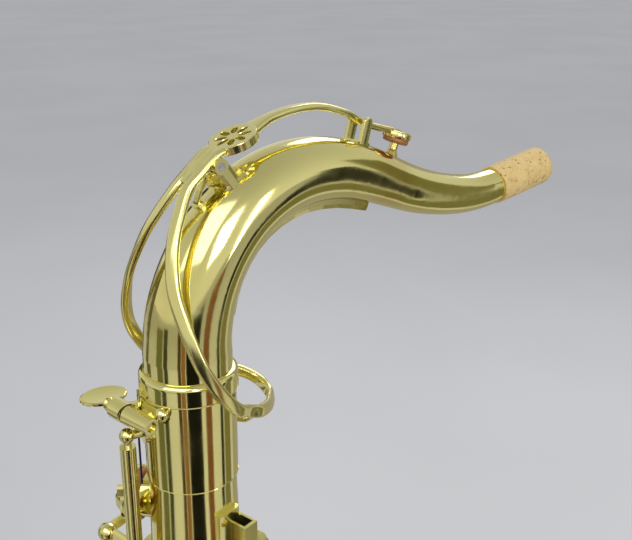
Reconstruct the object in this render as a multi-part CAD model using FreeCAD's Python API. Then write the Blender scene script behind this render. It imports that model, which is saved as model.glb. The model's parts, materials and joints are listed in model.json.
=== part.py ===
import FreeCAD, Part
import math
import os

V = FreeCAD.Vector
UP = V(0, 0, 1)
ACROSS = V(0, 1, 0)
ALONG = V(1, 0, 0)
os.makedirs("parts", exist_ok=True)

# Tenor saxophone. Lengths are in millimetres and angles in degrees.
# Heights are counted from the joint line between the neck and its receiver, with z upwards.
# X points from the bell towards the mouthpiece end of the neck, and -Y is the player's left.
# An azimuth turns about z from the X axis. The saved parts are shifted to the strap ring.

# General
tube_wall = 0.8
overrun = 3.0
pivot_clearance = 0.05
seat_gap = 0.3
solder_land = 1.0

# Body tube and receiver
receiver_height = 32.3
receiver_radius = 15.25
body_length = 567.7
body_top_radius = 14.6
body_bottom_radius = 29.8
chimney_wall = 0.7
chimney_rise = 2.2

# Bow and bell
bell_offset = 132.0
bow_end_radius = 41.0
bell_height = 308.0
bell_rim_radius = 76.5
rim_bead_radius = 1.7
joint_ring_height = 11.0
joint_ring_wall = 1.3
brace_ring_radius = 14.0
brace_bar = 3.4
brace_pad_radius = 7.0

# Neck
neck_length = 213.1
neck_base_height = 12.0
neck_base_radius = 14.3
tenon_radius = 13.75
tenon_length = 25.0
tenon_wall = 1.0
tenon_clearance = 0.05
collar_height = 6.8
collar_radius = 16.0
collar_round = 1.9
neck_swivel_angle = 15
cork_length = 31.0
cork_wall = 0.95
neck_brace_width = 4.4
neck_brace_proud = 3.1
neck_headings = (90, 68.7, 46.7, 21, -2.5, -17.9, -23.9, -16, -7.2, 7.5)
neck_radius_shares = (1, 0.841, 0.635, 0.492)
neck_brace_span_shares = (0.055, 0.523)

# Clamp of the receiver, with its screw
clamp_turn = 8.2
clamp_reach = 19.25
clamp_height = 5.9
clamp_radius = 3.4
clamp_near = 9.1
clamp_split = 2.2
clamp_far = 9.1
clamp_offset = 4.6
clamp_slot = 0.6
clamp_band_height = 5.2
clamp_band_proud = 1.6
clamp_band_near_angle = 43.0
clamp_band_far_angle = 19.0
clamp_lobe_radius = 2.4
clamp_barrel_end_share = 0.78
wing_length = 15.8
wing_width = 11.7
wing_thickness = 1.5
wing_neck_radius = 2.2
wing_neck_length = 3.0
clamp_screw_radius = 1.6

# Keys
rod_radius = 1.2
key_tube_radius = 2.6
post_ball_radius = 3.3
top_ball_radius = 2.5
post_stem_radius = 1.6
post_foot_radius = 3.8
post_foot_height = 1.2
pad_overlap = 1.8
pad_height = 3.0
pad_proud = 1.2
top_pad_proud = 2.1
cup_wall = 0.8
cup_height = 3.4
cup_dome = 1.6
arm_width = 6.0
arm_thickness = 2.0
small_lift = 3.5
stack_lift = 5.5
large_lift = 8.0
pearl_radius = 6.6
pearl_height = 1.8
pearl_rim = 0.9
pearl_base = 1.4
paddle_thickness = 2.2
paddle_corner = 3.2
paddle_width = 11.0
front_plate_long = 12.0
front_plate_wide = 9.0
table_pitch = 13.4
table_high = 11.6
table_long = 19.0
pinky_long = 15.0
lever_knob_radius = 3.4
lever_turn = 5
long_lever_turn = 6
spring_radius = 0.35
spring_length = 19.0
spring_offset = 3.8
ear_thickness = 1.8
ear_width = 5.4
guard_thickness = 1.8
guard_width = 5.0
guard_clearance = 3.0

# Neck octave key
strap_thickness = 2.4
strap_end_width = 4.4
strap_broad_width = 9.5
strap_disc_radius = 7.8
strap_disc_hole_radius = 1.3
fork_bar_width = 4.2
fork_bar_thickness = 2.6
neck_pad_radius = 4.6
neck_pad_height = 2.2
neck_cup_radius = 5.2
neck_cup_height = 2.2
neck_pip_radius = 1.6
neck_pip_bore = 0.7
neck_pip_rise = 4.2
saddle_half_gap = 3.9
saddle_thickness = 2.2
saddle_width = 5.0
neck_key_lift = 3.6
neck_key_height = 84.4
guide_wall = 1.5
guide_depth = 4.0
guide_rise = 8.7
leaf_thickness = 0.6

# Octave mechanism of the body: distances from the tube's axis, and drops below the joint line
octave_half_gap = 3.4
octave_pin_radius = 1.7
pin_azimuth = 30
pin_elbow_reach = 20.6
pin_elbow_drop = 22.5
pin_knee_azimuth = 3.5
pin_knee_reach = 22.8
pin_knee_drop = 21.6
pin_tip_reach = 30.0
pin_tip_drop = 19.2
pin_pivot_x = 21.6
pin_foot_x = 24.6
pin_travel = 4.0
thumb_lever_x = 25.6
thumb_lever_gap = 1.4
thumb_plate_x = 31.0
vent_pip_radius = 2.4
vent_pip_rise = 4.0
vent_pad_radius = 4.2
vent_cup_rise = 1.4
vent_lift = 2.5

# Small fittings
ring_height = 265.0
strap_ring_outer = 9.0
strap_ring_bore = 5.0
strap_ring_thickness = 3.2
strap_ring_reach = 9.6
thumb_rest_radius = 9.0
thumb_rest_height = 3.4
hook_travel = 8.0
hook_base_long = 36.0
hook_base_wide = 15.0
hook_base_thick = 2.4
hook_wide = 9.0
hook_thick = 2.6
hook_depth = 24.0
hook_screw_radius = 4.4
hook_screw_reach = 6.0
ring_plate_long = 34.0
ring_plate_wide = 11.0
lyre_azimuth = 292.8
lyre_reach = 19.1
lyre_turn = 281.6
lyre_top = -46.5
lyre_base_width = 9.4
lyre_base_height = 18.0
lyre_base_top = -42.2
lyre_screw_radius = 1.3
lyre_head_radius = 3.4
lyre_head_length = 4.4
lyre_rivet_radius = 1.3
screw_turn = 180
lyre_box_width = 6.0
lyre_box_depth = 7.8
lyre_box_height = 20.0
lyre_hole_width = 4.2
lyre_hole_depth = 5.4


def polar(azimuth, radius, z):
    turn = math.radians(azimuth)
    return V(radius * math.cos(turn), radius * math.sin(turn), z)


def direction(azimuth):
    return polar(azimuth, 1, 0)


def height(share):
    return -receiver_height - share * body_length


def body_radius(z):
    share = (-receiver_height - z) / body_length
    return body_top_radius + share * (body_bottom_radius - body_top_radius)


def cylinder(start, end, radius):
    return Part.makeCylinder(radius, (end - start).Length, start, end - start)


def pipe(start, end, outer, inner):
    along = (end - start).normalize()
    bore = cylinder(start - along * overrun, end + along * overrun, inner)
    return cylinder(start, end, outer).cut(bore)


def ball(centre, radius):
    return Part.makeSphere(radius, centre)


def section(centre, tangent, side, width, thickness):
    """An eight-sided section: a rectangle with its corners taken off."""
    tangent = V(tangent).normalize()
    across = (side - tangent * side.dot(tangent)).normalize()
    lift = tangent.cross(across)
    corner_shares = ((-1, -0.5), (-0.6, -1), (0.6, -1), (1, -0.5),
                     (1, 0.5), (0.6, 1), (-0.6, 1), (-1, 0.5))
    corners = []
    for share_across, share_up in corner_shares:
        corners.append(centre + across * (share_across * width / 2)
                       + lift * (share_up * thickness / 2))
    return Part.makePolygon(corners + corners[:1])


def bar(points, side, widths, thickness):
    """A bar through the points. widths is one width, or one for each point."""
    if not isinstance(widths, (list, tuple)):
        widths = [widths] * len(points)
    sections = []
    for index, point in enumerate(points):
        before = points[max(index - 1, 0)]
        after = points[min(index + 1, len(points) - 1)]
        sections.append(section(point, after - before, side, widths[index], thickness))
    return Part.makeLoft(sections, True, True)


def rounded_plate(azimuth, radius, z, long, wide, thick):
    """A plate that faces outwards, with its four corners rounded."""
    plate = Part.makeBox(thick, wide, long, V(radius, -wide / 2, z - long / 2))
    corners = [edge for edge in plate.Edges
               if abs(edge.tangentAt(edge.FirstParameter).dot(ALONG)) > 0.9]
    plate = plate.makeFillet(min(paddle_corner, wide / 2.5, long / 2.5), corners)
    plate.rotate(V(0, 0, 0), UP, azimuth)
    return plate


strap_ring_x = body_radius(-ring_height) + strap_ring_reach
part_shift = V(-strap_ring_x, 0, ring_height)
pivots = []


def save(name, shape):
    moved = shape.copy()
    moved.translate(part_shift)
    moved.exportStep("parts/" + name + ".step")


def note_pivot(name, point, axis, low, high):
    place = point + part_shift
    pivots.append((name, tuple(round(c, 4) for c in place), tuple(round(c, 5) for c in axis),
                   round(low, 3), round(high, 3)))


# Body tube with its drawn tone holes

# Each row: key, azimuth, height share of the body, radius share of the body's bottom radius.
body_hole_shares = (
    ("high_f_sharp_key", 130, 0.021, 0.235),
    ("high_f_key", 215, 0.084, 0.268),
    ("high_e_key", 102, 0.084, 0.285),
    ("high_e_flat_key", 215, 0.126, 0.285),
    ("high_d_key", 215, 0.168, 0.302),
    ("c_vent_key", 165, 0.2105, 0.248),
    ("b_key", 165, 0.2525, 0.315),
    ("bis_key", 165, 0.2945, 0.268),
    ("a_key", 165, 0.3395, 0.369),
    ("g_key", 165, 0.396, 0.419),
    ("side_c_key", 98, 0.215, 0.302),
    ("side_b_flat_key", 98, 0.296, 0.335),
    ("g_sharp_key", 255, 0.445, 0.419),
    ("f_sharp_key", 150, 0.510, 0.470),
    ("f_key", 150, 0.579, 0.520),
    ("e_key", 150, 0.6636, 0.570),
    ("d_key", 150, 0.7516, 0.587),
    ("e_flat_key", 110, 0.838, 0.587),
    ("low_c_key", 122, 0.9225, 0.638),
)
holes = {}
for name, azimuth, height_share, radius_share in body_hole_shares:
    z = height(height_share)
    hole_radius = radius_share * body_bottom_radius
    holes[name] = {"centre": V(0, 0, z), "normal": direction(azimuth),
                   "rim": body_radius(z) + chimney_rise, "radius": hole_radius}


def chimney(hole):
    start = hole["centre"]
    return cylinder(start, start + hole["normal"] * hole["rim"], hole["radius"] + chimney_wall)


def chimney_bore(hole):
    start = hole["centre"]
    return cylinder(start, start + hole["normal"] * (hole["rim"] + overrun), hole["radius"])


body_top = V(0, 0, -receiver_height)
body_foot = V(0, 0, -receiver_height - body_length)
body_outer = Part.makeCone(body_top_radius, body_bottom_radius, body_length, body_top, UP * -1)
body_bore = Part.makeCone(body_top_radius - tube_wall, body_bottom_radius - tube_wall,
                          body_length, body_top, UP * -1)
body_carrier = body_outer.copy()
for hole in holes.values():
    body_carrier = body_carrier.fuse(chimney(hole))
body_shape = body_carrier.cut(body_bore)
for hole in holes.values():
    body_shape = body_shape.cut(chimney_bore(hole))
save("body_tube", body_shape)

# Receiver with its clamp

receiver_bore = tenon_radius + tenon_clearance
receiver = pipe(V(0, 0, -receiver_height), V(0, 0, 0), receiver_radius, receiver_bore)
clamp_side = direction(180 + clamp_turn)
clamp_axis = UP.cross(clamp_side) * -1
clamp_centre = clamp_side * clamp_reach + clamp_axis * clamp_offset - UP * clamp_height
near_end = clamp_centre - clamp_axis * clamp_near
far_end = clamp_centre + clamp_axis * clamp_far
split_low = clamp_centre + clamp_axis * clamp_split
split_high = split_low + clamp_axis * clamp_slot
slit_azimuth = math.degrees(math.atan2(split_low.y, split_low.x))
band_outer = receiver_radius + clamp_band_proud
band = pipe(V(0, 0, -clamp_band_height - seat_gap), V(0, 0, -seat_gap * 2), band_outer,
            receiver_radius)
wedge_reach = band_outer * 2
wedge = Part.makePolygon([V(0, 0, 0),
                          polar(slit_azimuth - clamp_band_far_angle, wedge_reach, 0),
                          polar(slit_azimuth, wedge_reach, 0),
                          polar(slit_azimuth + clamp_band_near_angle, wedge_reach, 0),
                          V(0, 0, 0)])
wedge = Part.Face(wedge).extrude(UP * (-2 * clamp_band_height))
band = band.common(wedge)
lobe_azimuth = slit_azimuth + clamp_band_near_angle * 0.87
lobe = ball(polar(lobe_azimuth, receiver_radius + solder_land, -clamp_band_height * 0.54),
            clamp_lobe_radius)
near_barrel = Part.makeCone(clamp_radius * clamp_barrel_end_share, clamp_radius,
                            (split_low - near_end).Length, near_end, clamp_axis)
far_barrel = cylinder(split_high, far_end, clamp_radius)
web_width = clamp_radius * 1.4
for start, end in ((near_end, split_low), (split_high, far_end)):
    middle = (start + end) * 0.5
    foot = V(middle.x, middle.y, 0).normalize() * receiver_radius
    foot.z = middle.z
    web = bar([middle, foot], UP, web_width, (end - start).Length * 0.6)
    receiver = receiver.fuse(web)
receiver = receiver.fuse([band, lobe, near_barrel, far_barrel])
receiver = receiver.cut(Part.makeCylinder(receiver_bore, receiver_height + 2 * overrun,
                                          V(0, 0, -receiver_height - overrun)))
slit = bar([V(0, 0, -clamp_height), direction(slit_azimuth) * wedge_reach - UP * clamp_height],
           UP, 2 * receiver_height * 0.8, clamp_slot)
receiver = receiver.cut(slit)
screw_bore = cylinder(near_end - clamp_axis * overrun, far_end + clamp_axis * overrun,
                      clamp_screw_radius + pivot_clearance)
receiver = receiver.cut(screw_bore)
save("neck_receiver", receiver)

# Clamp screw: a shank through both barrels, a collar and an oval wing
wing_start = far_end + clamp_axis * seat_gap
wing_foot = wing_start + clamp_axis * wing_neck_length
wing_centre = wing_foot + clamp_axis * (wing_width * 0.49) - clamp_side * (wing_width * 0.16)
screw = cylinder(near_end + clamp_axis * solder_land, wing_foot, clamp_screw_radius)
screw = screw.fuse(cylinder(wing_start, wing_foot, wing_neck_radius))
wing_oval = Part.Ellipse(V(0, 0, 0), wing_length / 2, wing_width / 2)
wing_plate = Part.Face(Part.Wire(wing_oval.toShape()))
wing_plate = wing_plate.extrude(UP * wing_thickness)
wing_plate.rotate(V(0, 0, 0), UP, -clamp_turn)
wing_plate.translate(wing_centre - UP * (wing_thickness / 2))
screw = screw.fuse(wing_plate)
save("neck_clamp_screw", screw)
note_pivot("neck_clamp_screw_turn", clamp_centre, clamp_axis, -screw_turn, screw_turn)

# Neck: a tapered tube along a gooseneck


def neck_frame(distance):
    """Point, heading and outer radius at a distance along the neck's middle line."""
    bend_length = neck_length - cork_length
    step = bend_length / (len(neck_headings) - 1)
    x = 0
    z = neck_base_height
    left = min(max(distance, 0), bend_length)
    heading = math.radians(neck_headings[0])
    for first, second in zip(neck_headings, neck_headings[1:]):
        run = min(left, step)
        heading = math.radians(first)
        turn = math.radians(second - first) * run / step
        middle = heading + turn / 2
        chord = run * (math.sin(turn / 2) / (turn / 2) if turn else 1)
        x += chord * math.cos(middle)
        z += chord * math.sin(middle)
        heading += turn
        left -= run
        if left <= 0:
            break
    beyond = max(distance - bend_length, 0)
    x += beyond * math.cos(heading)
    z += beyond * math.sin(heading)
    spans = len(neck_radius_shares) - 1
    place = min(distance / bend_length, 1) * spans
    index = min(int(place), spans - 1)
    share = (neck_radius_shares[index]
             + (place - index) * (neck_radius_shares[index + 1] - neck_radius_shares[index]))
    return V(x, 0, z), heading, share * neck_base_radius


def neck_outside(distance, azimuth, proud):
    """A point on the neck's surface. Azimuth 0 is the outer side of the bend, 90 is +Y."""
    point, heading, radius = neck_frame(distance)
    outer = V(-math.sin(heading), 0, math.cos(heading))
    turn = math.radians(azimuth)
    return point + (outer * math.cos(turn) + ACROSS * math.sin(turn)) * (radius + proud)


def neck_circle(distance, change):
    point, heading, radius = neck_frame(distance)
    tangent = V(math.cos(heading), 0, math.sin(heading))
    return Part.Wire(Part.Circle(point, tangent, radius + change).toShape())


def neck_loft(change, first, last, count):
    circles = []
    for index in range(count + 1):
        circles.append(neck_circle(first + (last - first) * index / count, change))
    return Part.makeLoft(circles, True, False)


neck_steps = 18
tube_sink = neck_base_height - collar_height * 0.3
bend_end = neck_length - cork_length
end_point, end_heading, end_radius = neck_frame(bend_end)
end_way = V(math.cos(end_heading), 0, math.sin(end_heading))
neck_end = end_point + end_way * cork_length


def neck_solid(change):
    straight = cylinder(end_point, neck_end, end_radius + change)
    return neck_loft(change, 0, bend_end, neck_steps).fuse(straight)


neck_outer = neck_solid(0)
neck_root = cylinder(V(0, 0, neck_base_height - tube_sink), V(0, 0, neck_base_height),
                     neck_base_radius)
neck_root_bore = cylinder(V(0, 0, neck_base_height - tube_sink - overrun),
                          V(0, 0, neck_base_height), neck_base_radius - tube_wall)
neck_tube = neck_outer.fuse(neck_root)
neck_tube = neck_tube.cut(neck_solid(-tube_wall)).cut(neck_root_bore)
save("neck_tube", neck_tube)
note_pivot("neck_swivel", V(0, 0, 0), UP, -neck_swivel_angle, neck_swivel_angle)

# Tenon and collar in one turned piece
tenon = cylinder(V(0, 0, -tenon_length), V(0, 0, 0), tenon_radius)
collar = cylinder(V(0, 0, 0), V(0, 0, collar_height), collar_radius)
top_edge = [edge for edge in collar.Edges if edge.CenterOfMass.z > collar_height / 2
            and len(edge.Vertexes) == 1]
tenon = tenon.fuse(collar.makeFillet(collar_round, top_edge))
tenon = tenon.cut(cylinder(V(0, 0, neck_base_height - tube_sink),
                           V(0, 0, collar_height + overrun), neck_base_radius))
tenon = tenon.cut(cylinder(V(0, 0, -tenon_length - overrun), V(0, 0, collar_height),
                           tenon_radius - tenon_wall))
save("neck_tenon", tenon)

# Cork sleeve over the small end
save("neck_cork", pipe(end_point, neck_end, end_radius + cork_wall, end_radius))
print("neck end", neck_end + part_shift, "way", end_way, "radius", end_radius + cork_wall)

# Stiffening strip on the inner side of the bend
brace_first, brace_last = [share * neck_length for share in neck_brace_span_shares]
brace_points = []
brace_widths = []
brace_count = 12
for index in range(brace_count + 1):
    place = index / brace_count
    brace_points.append(neck_outside(brace_first + (brace_last - brace_first) * place, 180, 0))
    brace_widths.append(neck_brace_width * (1 if place < 0.97 else 0.55))
brace = bar(brace_points, ACROSS, brace_widths, 2 * neck_brace_proud)
save("neck_brace", brace.cut(neck_outer))

# Octave key of the neck, with its pip and pad
pad_distance = neck_length * 0.546
pad_point, pad_heading, pad_tube_radius = neck_frame(pad_distance)
pad_normal = V(-math.sin(pad_heading), 0, math.cos(pad_heading))
pip_top = pad_point + pad_normal * (pad_tube_radius + neck_pip_rise)
pip = cylinder(pad_point, pip_top, neck_pip_radius)
pip_foot = pad_point + pad_normal * (pad_tube_radius - neck_pip_rise * 0.3)
pip = pip.fuse(Part.makeCone(neck_pip_radius * 1.9, neck_pip_radius, neck_pip_rise * 0.75,
                             pip_foot, pad_normal))
pip = pip.cut(neck_outer)
pip = pip.cut(cylinder(pad_point, pip_top + pad_normal * overrun, neck_pip_bore))
save("neck_octave_pip", pip)

pad_seat = pip_top + pad_normal * seat_gap
neck_pad = cylinder(pad_seat, pad_seat + pad_normal * neck_pad_height, neck_pad_radius)
save("neck_octave_pad", neck_pad)

cup_seat = pad_seat + pad_normal * neck_pad_height
neck_cup = cylinder(cup_seat - pad_normal * (neck_pad_height * 0.4),
                    cup_seat + pad_normal * neck_cup_height, neck_cup_radius)
neck_cup = neck_cup.cut(cylinder(pad_seat, cup_seat, neck_pad_radius))
# The key's places are shares of its height over the joint line. Each place of the strap gives
# x and z, from beside the pad cup to the disc and the fork.
strap_place_shares = ((0.966, 0.872), (0.874, 0.903), (0.778, 0.953), (0.646, 0.995), (0.52, 1),
                      (0.4, 0.979), (0.32, 0.955), (0.235, 0.916), (0.13, 0.877), (0.069, 0.827),
                      (-0.002, 0.765))
disc_row = 7
pivot_row = 8
pivot_drop_share = 0.033
strap_widths = (strap_end_width * 0.7, strap_end_width * 0.7, strap_end_width, strap_end_width,
                strap_end_width, strap_end_width, strap_end_width * 1.15, strap_broad_width,
                strap_broad_width, strap_broad_width, strap_broad_width,
                strap_broad_width * 1.15)
strap_points = [V(cup_seat.x - neck_cup_radius * 0.6, 0, cup_seat.z + neck_cup_height * 0.55)]
for x_share, z_share in strap_place_shares:
    strap_points.append(V(x_share * neck_key_height, 0, z_share * neck_key_height))
neck_key = bar(strap_points, ACROSS, strap_widths, strap_thickness).fuse(neck_cup)
disc_centre = strap_points[disc_row + 1]
disc_normal = V(-0.36, 0, 0.93).normalize()
disc = cylinder(disc_centre - disc_normal * (strap_thickness / 2),
                disc_centre + disc_normal * (strap_thickness / 2), strap_disc_radius)
neck_key = neck_key.fuse(disc)
disc_along = ACROSS.cross(disc_normal)
disc_hole_count = 6
for index in range(disc_hole_count):
    turn = math.radians(360 * index / disc_hole_count)
    spot = disc_centre + (disc_along * math.cos(turn) + ACROSS * math.sin(turn)) * (
        strap_disc_radius * 0.55)
    neck_key = neck_key.cut(cylinder(spot - disc_normal * strap_thickness,
                                     spot + disc_normal * strap_thickness,
                                     strap_disc_hole_radius))
# Fork and loop: shares for x, half the spread and z, from the fork to the front of the loop
fork_shares = ((0.007, 0.038, 0.775), (-0.053, 0.066, 0.686), (-0.092, 0.09, 0.615),
               (-0.117, 0.116, 0.544), (-0.135, 0.152, 0.455), (-0.133, 0.194, 0.363),
               (-0.12, 0.232, 0.27), (-0.092, 0.258, 0.18), (-0.036, 0.274, 0.079),
               (0.04, 0.265, -0.011))
# The loop in front of the receiver isn't quite even: its near side, then its far side
near_shares = ((0.108, 0.236, -0.053), (0.172, 0.222, -0.083), (0.249, 0.167, -0.115),
               (0.325, 0.085, -0.149), (0.386, 0, -0.175))
far_shares = ((0.152, 0.255, -0.059), (0.254, 0.211, -0.085), (0.34, 0.143, -0.107),
              (0.378, 0.088, -0.139), (0.386, 0, -0.175))
for side_sign, loop_shares in ((-1, near_shares), (1, far_shares)):
    arm_points = [V(x, side_sign * y, z) * neck_key_height for x, y, z in fork_shares + loop_shares]
    sections = []
    for index, point in enumerate(arm_points):
        before = arm_points[max(index - 1, 0)]
        after = arm_points[min(index + 1, len(arm_points) - 1)]
        tangent = after - before
        if index == len(arm_points) - 1:
            tangent = V(0, -side_sign, 0)
        outward = V(point.x, point.y, 0).normalize()
        sections.append(section(point, tangent, outward.cross(tangent), fork_bar_width,
                                fork_bar_thickness))
    neck_key = neck_key.fuse(Part.makeLoft(sections, True, True))
strap_under = strap_points[pivot_row + 1]
key_pivot = strap_under - UP * (pivot_drop_share * neck_key_height)
pivot_x = key_pivot.x
pivot_z = key_pivot.z
pivot_half = saddle_half_gap - seat_gap
neck_key = neck_key.fuse(cylinder(key_pivot - ACROSS * pivot_half, key_pivot + ACROSS * pivot_half,
                                  key_tube_radius))
neck_key = neck_key.fuse(bar([key_pivot, strap_under], ACROSS, pivot_half * 1.8,
                             key_tube_radius * 1.6))
neck_key = neck_key.cut(cylinder(key_pivot - ACROSS * overrun * 3, key_pivot + ACROSS * overrun * 3,
                                 rod_radius + pivot_clearance))
neck_key = neck_key.cut(neck_pad)
# The strap is relieved over the two lugs of its saddle
for side_sign in (-1, 1):
    relief_start = key_pivot + ACROSS * side_sign * (saddle_half_gap - seat_gap)
    relief_end = key_pivot + ACROSS * side_sign * (saddle_half_gap + saddle_thickness + seat_gap)
    neck_key = neck_key.cut(cylinder(relief_start, relief_end, saddle_width / 2 + 2 * seat_gap))
save("neck_octave_key", neck_key)
lift_arm = (pad_seat - key_pivot).Length
note_pivot("neck_octave_key_pivot", key_pivot, ACROSS, -math.degrees(neck_key_lift / lift_arm), 0)

# Saddle with two lugs, its pivot screw and the strap guide
saddle = None
saddle_distance = neck_length * 0.24
saddle_foot = neck_frame(saddle_distance)[0]
lug_outer = saddle_half_gap + saddle_thickness
for side_sign in (-1, 1):
    lug_middle = side_sign * (saddle_half_gap + saddle_thickness / 2)
    lug = bar([V(saddle_foot.x, lug_middle, saddle_foot.z), V(pivot_x, lug_middle, pivot_z)],
              ACROSS, saddle_thickness, saddle_width)
    lug = lug.fuse(cylinder(V(pivot_x, side_sign * saddle_half_gap, pivot_z),
                            V(pivot_x, side_sign * lug_outer, pivot_z), saddle_width / 2))
    saddle = lug if saddle is None else saddle.fuse(lug)
plate_low = neck_outside(saddle_distance - saddle_width * 0.7, 0, 0)
plate_high = neck_outside(saddle_distance + saddle_width * 0.7, 0, 0)
saddle = saddle.fuse(bar([plate_low, plate_high], ACROSS, 2 * lug_outer * 0.98, 2 * solder_land))
saddle = saddle.cut(neck_outer)
saddle = saddle.cut(cylinder(key_pivot - ACROSS * lug_outer * 2, key_pivot + ACROSS * lug_outer * 2,
                             rod_radius + pivot_clearance))
cradle_distance = neck_length * 0.196
cradle_top = neck_outside(cradle_distance, 0, 1.5 * solder_land)
cradle = bar([neck_outside(cradle_distance, 0, -overrun), cradle_top], ACROSS, saddle_width * 0.9,
             saddle_width * 0.55)
save("neck_key_saddle", Part.makeCompound([saddle, cradle.cut(neck_outer)]))
leaf_root = cradle_top + UP * (leaf_thickness * 0.5)
leaf_end = V(pivot_x - key_tube_radius * 0.8, 0, pivot_z - key_tube_radius * 1.75)
leaf = bar([leaf_root - UP * leaf_thickness, leaf_root,
            (leaf_root + leaf_end) * 0.5 - ALONG * leaf_thickness, leaf_end], ACROSS,
           strap_end_width * 0.8, leaf_thickness)
save("neck_key_leaf_spring", leaf.cut(cradle).cut(neck_outer))
save("neck_key_pivot", cylinder(key_pivot - ACROSS * lug_outer, key_pivot + ACROSS * lug_outer,
                                rod_radius))

guide_distance = neck_length * 0.462
guide_foot = neck_outside(guide_distance, 0, 0)
guide_point, guide_heading, guide_tube = neck_frame(guide_distance)
guide_normal = V(-math.sin(guide_heading), 0, math.cos(guide_heading))
guide_half = strap_end_width / 2 + seat_gap * 2
guide_along = V(math.cos(guide_heading), 0, math.sin(guide_heading))
guide = bar([guide_foot - guide_along * guide_depth * 0.7,
             guide_foot + guide_along * guide_depth * 0.7],
            ACROSS, 2 * (guide_half + guide_wall), 2 * solder_land)
for side_sign in (-1, 1):
    low = guide_point + ACROSS * side_sign * (guide_half + guide_wall / 2)
    guide = guide.fuse(bar([low, low + guide_normal * (guide_tube + guide_rise)], ACROSS,
                           guide_wall, guide_depth))
save("neck_key_guide", guide.cut(neck_outer))

# Bow: a bend that goes on opening from the body to the bell

bow_count = 12
bow_centre = V(-bell_offset / 2, 0, body_foot.z)


def bow_loft(change):
    circles = []
    for index in range(bow_count + 1):
        share = index / bow_count
        turn = math.pi * share
        spoke = V(math.cos(turn), 0, -math.sin(turn))
        tangent = V(-math.sin(turn), 0, -math.cos(turn))
        radius = body_bottom_radius + share * (bow_end_radius - body_bottom_radius) + change
        circles.append(Part.Wire(Part.Circle(bow_centre + spoke * (bell_offset / 2), tangent,
                                             radius).toShape()))
    return Part.makeLoft(circles, True, False)


bow_outer = bow_loft(0)
bow = bow_outer.cut(bow_loft(-tube_wall))
save("bow_tube", bow)

# Bell with its flare and rolled rim
bell_foot = V(-bell_offset, 0, body_foot.z)
bell_radius_shares = ((0, bow_end_radius / bell_rim_radius), (0.26, 0.574), (0.49, 0.628),
                      (0.65, 0.684), (0.78, 0.75), (0.88, 0.828), (0.95, 0.912), (1, 1))


def bell_radius(z):
    share = (z - bell_foot.z) / bell_height
    for (low, low_radius), (high, high_radius) in zip(bell_radius_shares, bell_radius_shares[1:]):
        if share <= high:
            part = (share - low) / (high - low)
            return bell_rim_radius * (low_radius + part * (high_radius - low_radius))
    return bell_rim_radius


def bell_solid(change):
    points = [V(radius_share * bell_rim_radius + change, 0, place * bell_height)
              for place, radius_share in bell_radius_shares]
    curve = Part.BSplineCurve()
    curve.interpolate(points)
    top = V(0, 0, bell_height)
    edges = [curve.toShape(), Part.makeLine(points[-1], top), Part.makeLine(top, V(0, 0, 0)),
             Part.makeLine(V(0, 0, 0), points[0])]
    solid = Part.Face(Part.Wire(edges)).revolve(V(0, 0, 0), UP, 360)
    solid.translate(bell_foot)
    return solid


def bell_chimney_holes():
    found = {}
    rows = (("low_c_sharp_key", 0.118, 0.26), ("low_b_key", 0.306, 0.281),
            ("low_b_flat_key", 0.515, 0.294))
    for key, height_share, radius_share in rows:
        z = bell_foot.z + height_share * bell_height
        found[key] = {"centre": V(-bell_offset, 0, z), "normal": V(ACROSS),
                      "rim": bell_radius(z) + chimney_rise,
                      "radius": radius_share * bell_rim_radius}
    return found


bell_holes = bell_chimney_holes()
bell_bead = Part.makeTorus(bell_rim_radius, rim_bead_radius, bell_foot + UP * bell_height)
bell_outer = bell_solid(0).fuse(bell_bead)
bell = bell_outer.copy()
for hole in bell_holes.values():
    bell = bell.fuse(chimney(hole))
bell = bell.cut(bell_solid(-tube_wall))
for hole in bell_holes.values():
    bell = bell.cut(chimney_bore(hole))
save("bell", bell)
holes.update(bell_holes)

# Joint rings between body, bow and bell
ring_solids = []
for centre, radius in ((body_foot, body_bottom_radius), (bell_foot, bow_end_radius)):
    half = joint_ring_height / 2
    outer = cylinder(centre - UP * half, centre + UP * half, radius + joint_ring_wall)
    ring_solids.append(outer.cut(body_outer).cut(bell_outer).cut(bow_outer))
save("joint_rings", Part.makeCompound(ring_solids))

# Brace between the body and the bell: two feet, two struts and a ring
brace_z = height(0.655)
brace_body = direction(235)
brace_bell = direction(-52)
brace_foot_body = brace_body * (body_radius(brace_z)) + UP * brace_z
brace_foot_bell = V(-bell_offset, 0, brace_z) + brace_bell * bell_radius(brace_z)
strut = brace_foot_bell - brace_foot_body
ring_centre = (brace_foot_bell + brace_foot_body) * 0.5
strut_way = V(strut).normalize()
ring_axis = strut_way.cross(UP).normalize()
bell_brace = pipe(ring_centre - ring_axis * (brace_bar / 2), ring_centre + ring_axis * (brace_bar / 2),
                  brace_ring_radius, brace_ring_radius - brace_bar)
inner_reach = strut_way * (brace_ring_radius - brace_bar / 2)
bell_brace = bell_brace.fuse(cylinder(brace_foot_body - brace_body * overrun,
                                      ring_centre - inner_reach, brace_bar / 2))
bell_brace = bell_brace.fuse(cylinder(ring_centre + inner_reach,
                                      brace_foot_bell - brace_bell * overrun, brace_bar / 2))
for foot, way in ((brace_foot_body, brace_body), (brace_foot_bell, brace_bell)):
    bell_brace = bell_brace.fuse(cylinder(foot - way * overrun, foot + way * solder_land,
                                          brace_pad_radius))
save("bell_brace", bell_brace.cut(body_outer).cut(bell_outer))

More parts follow.
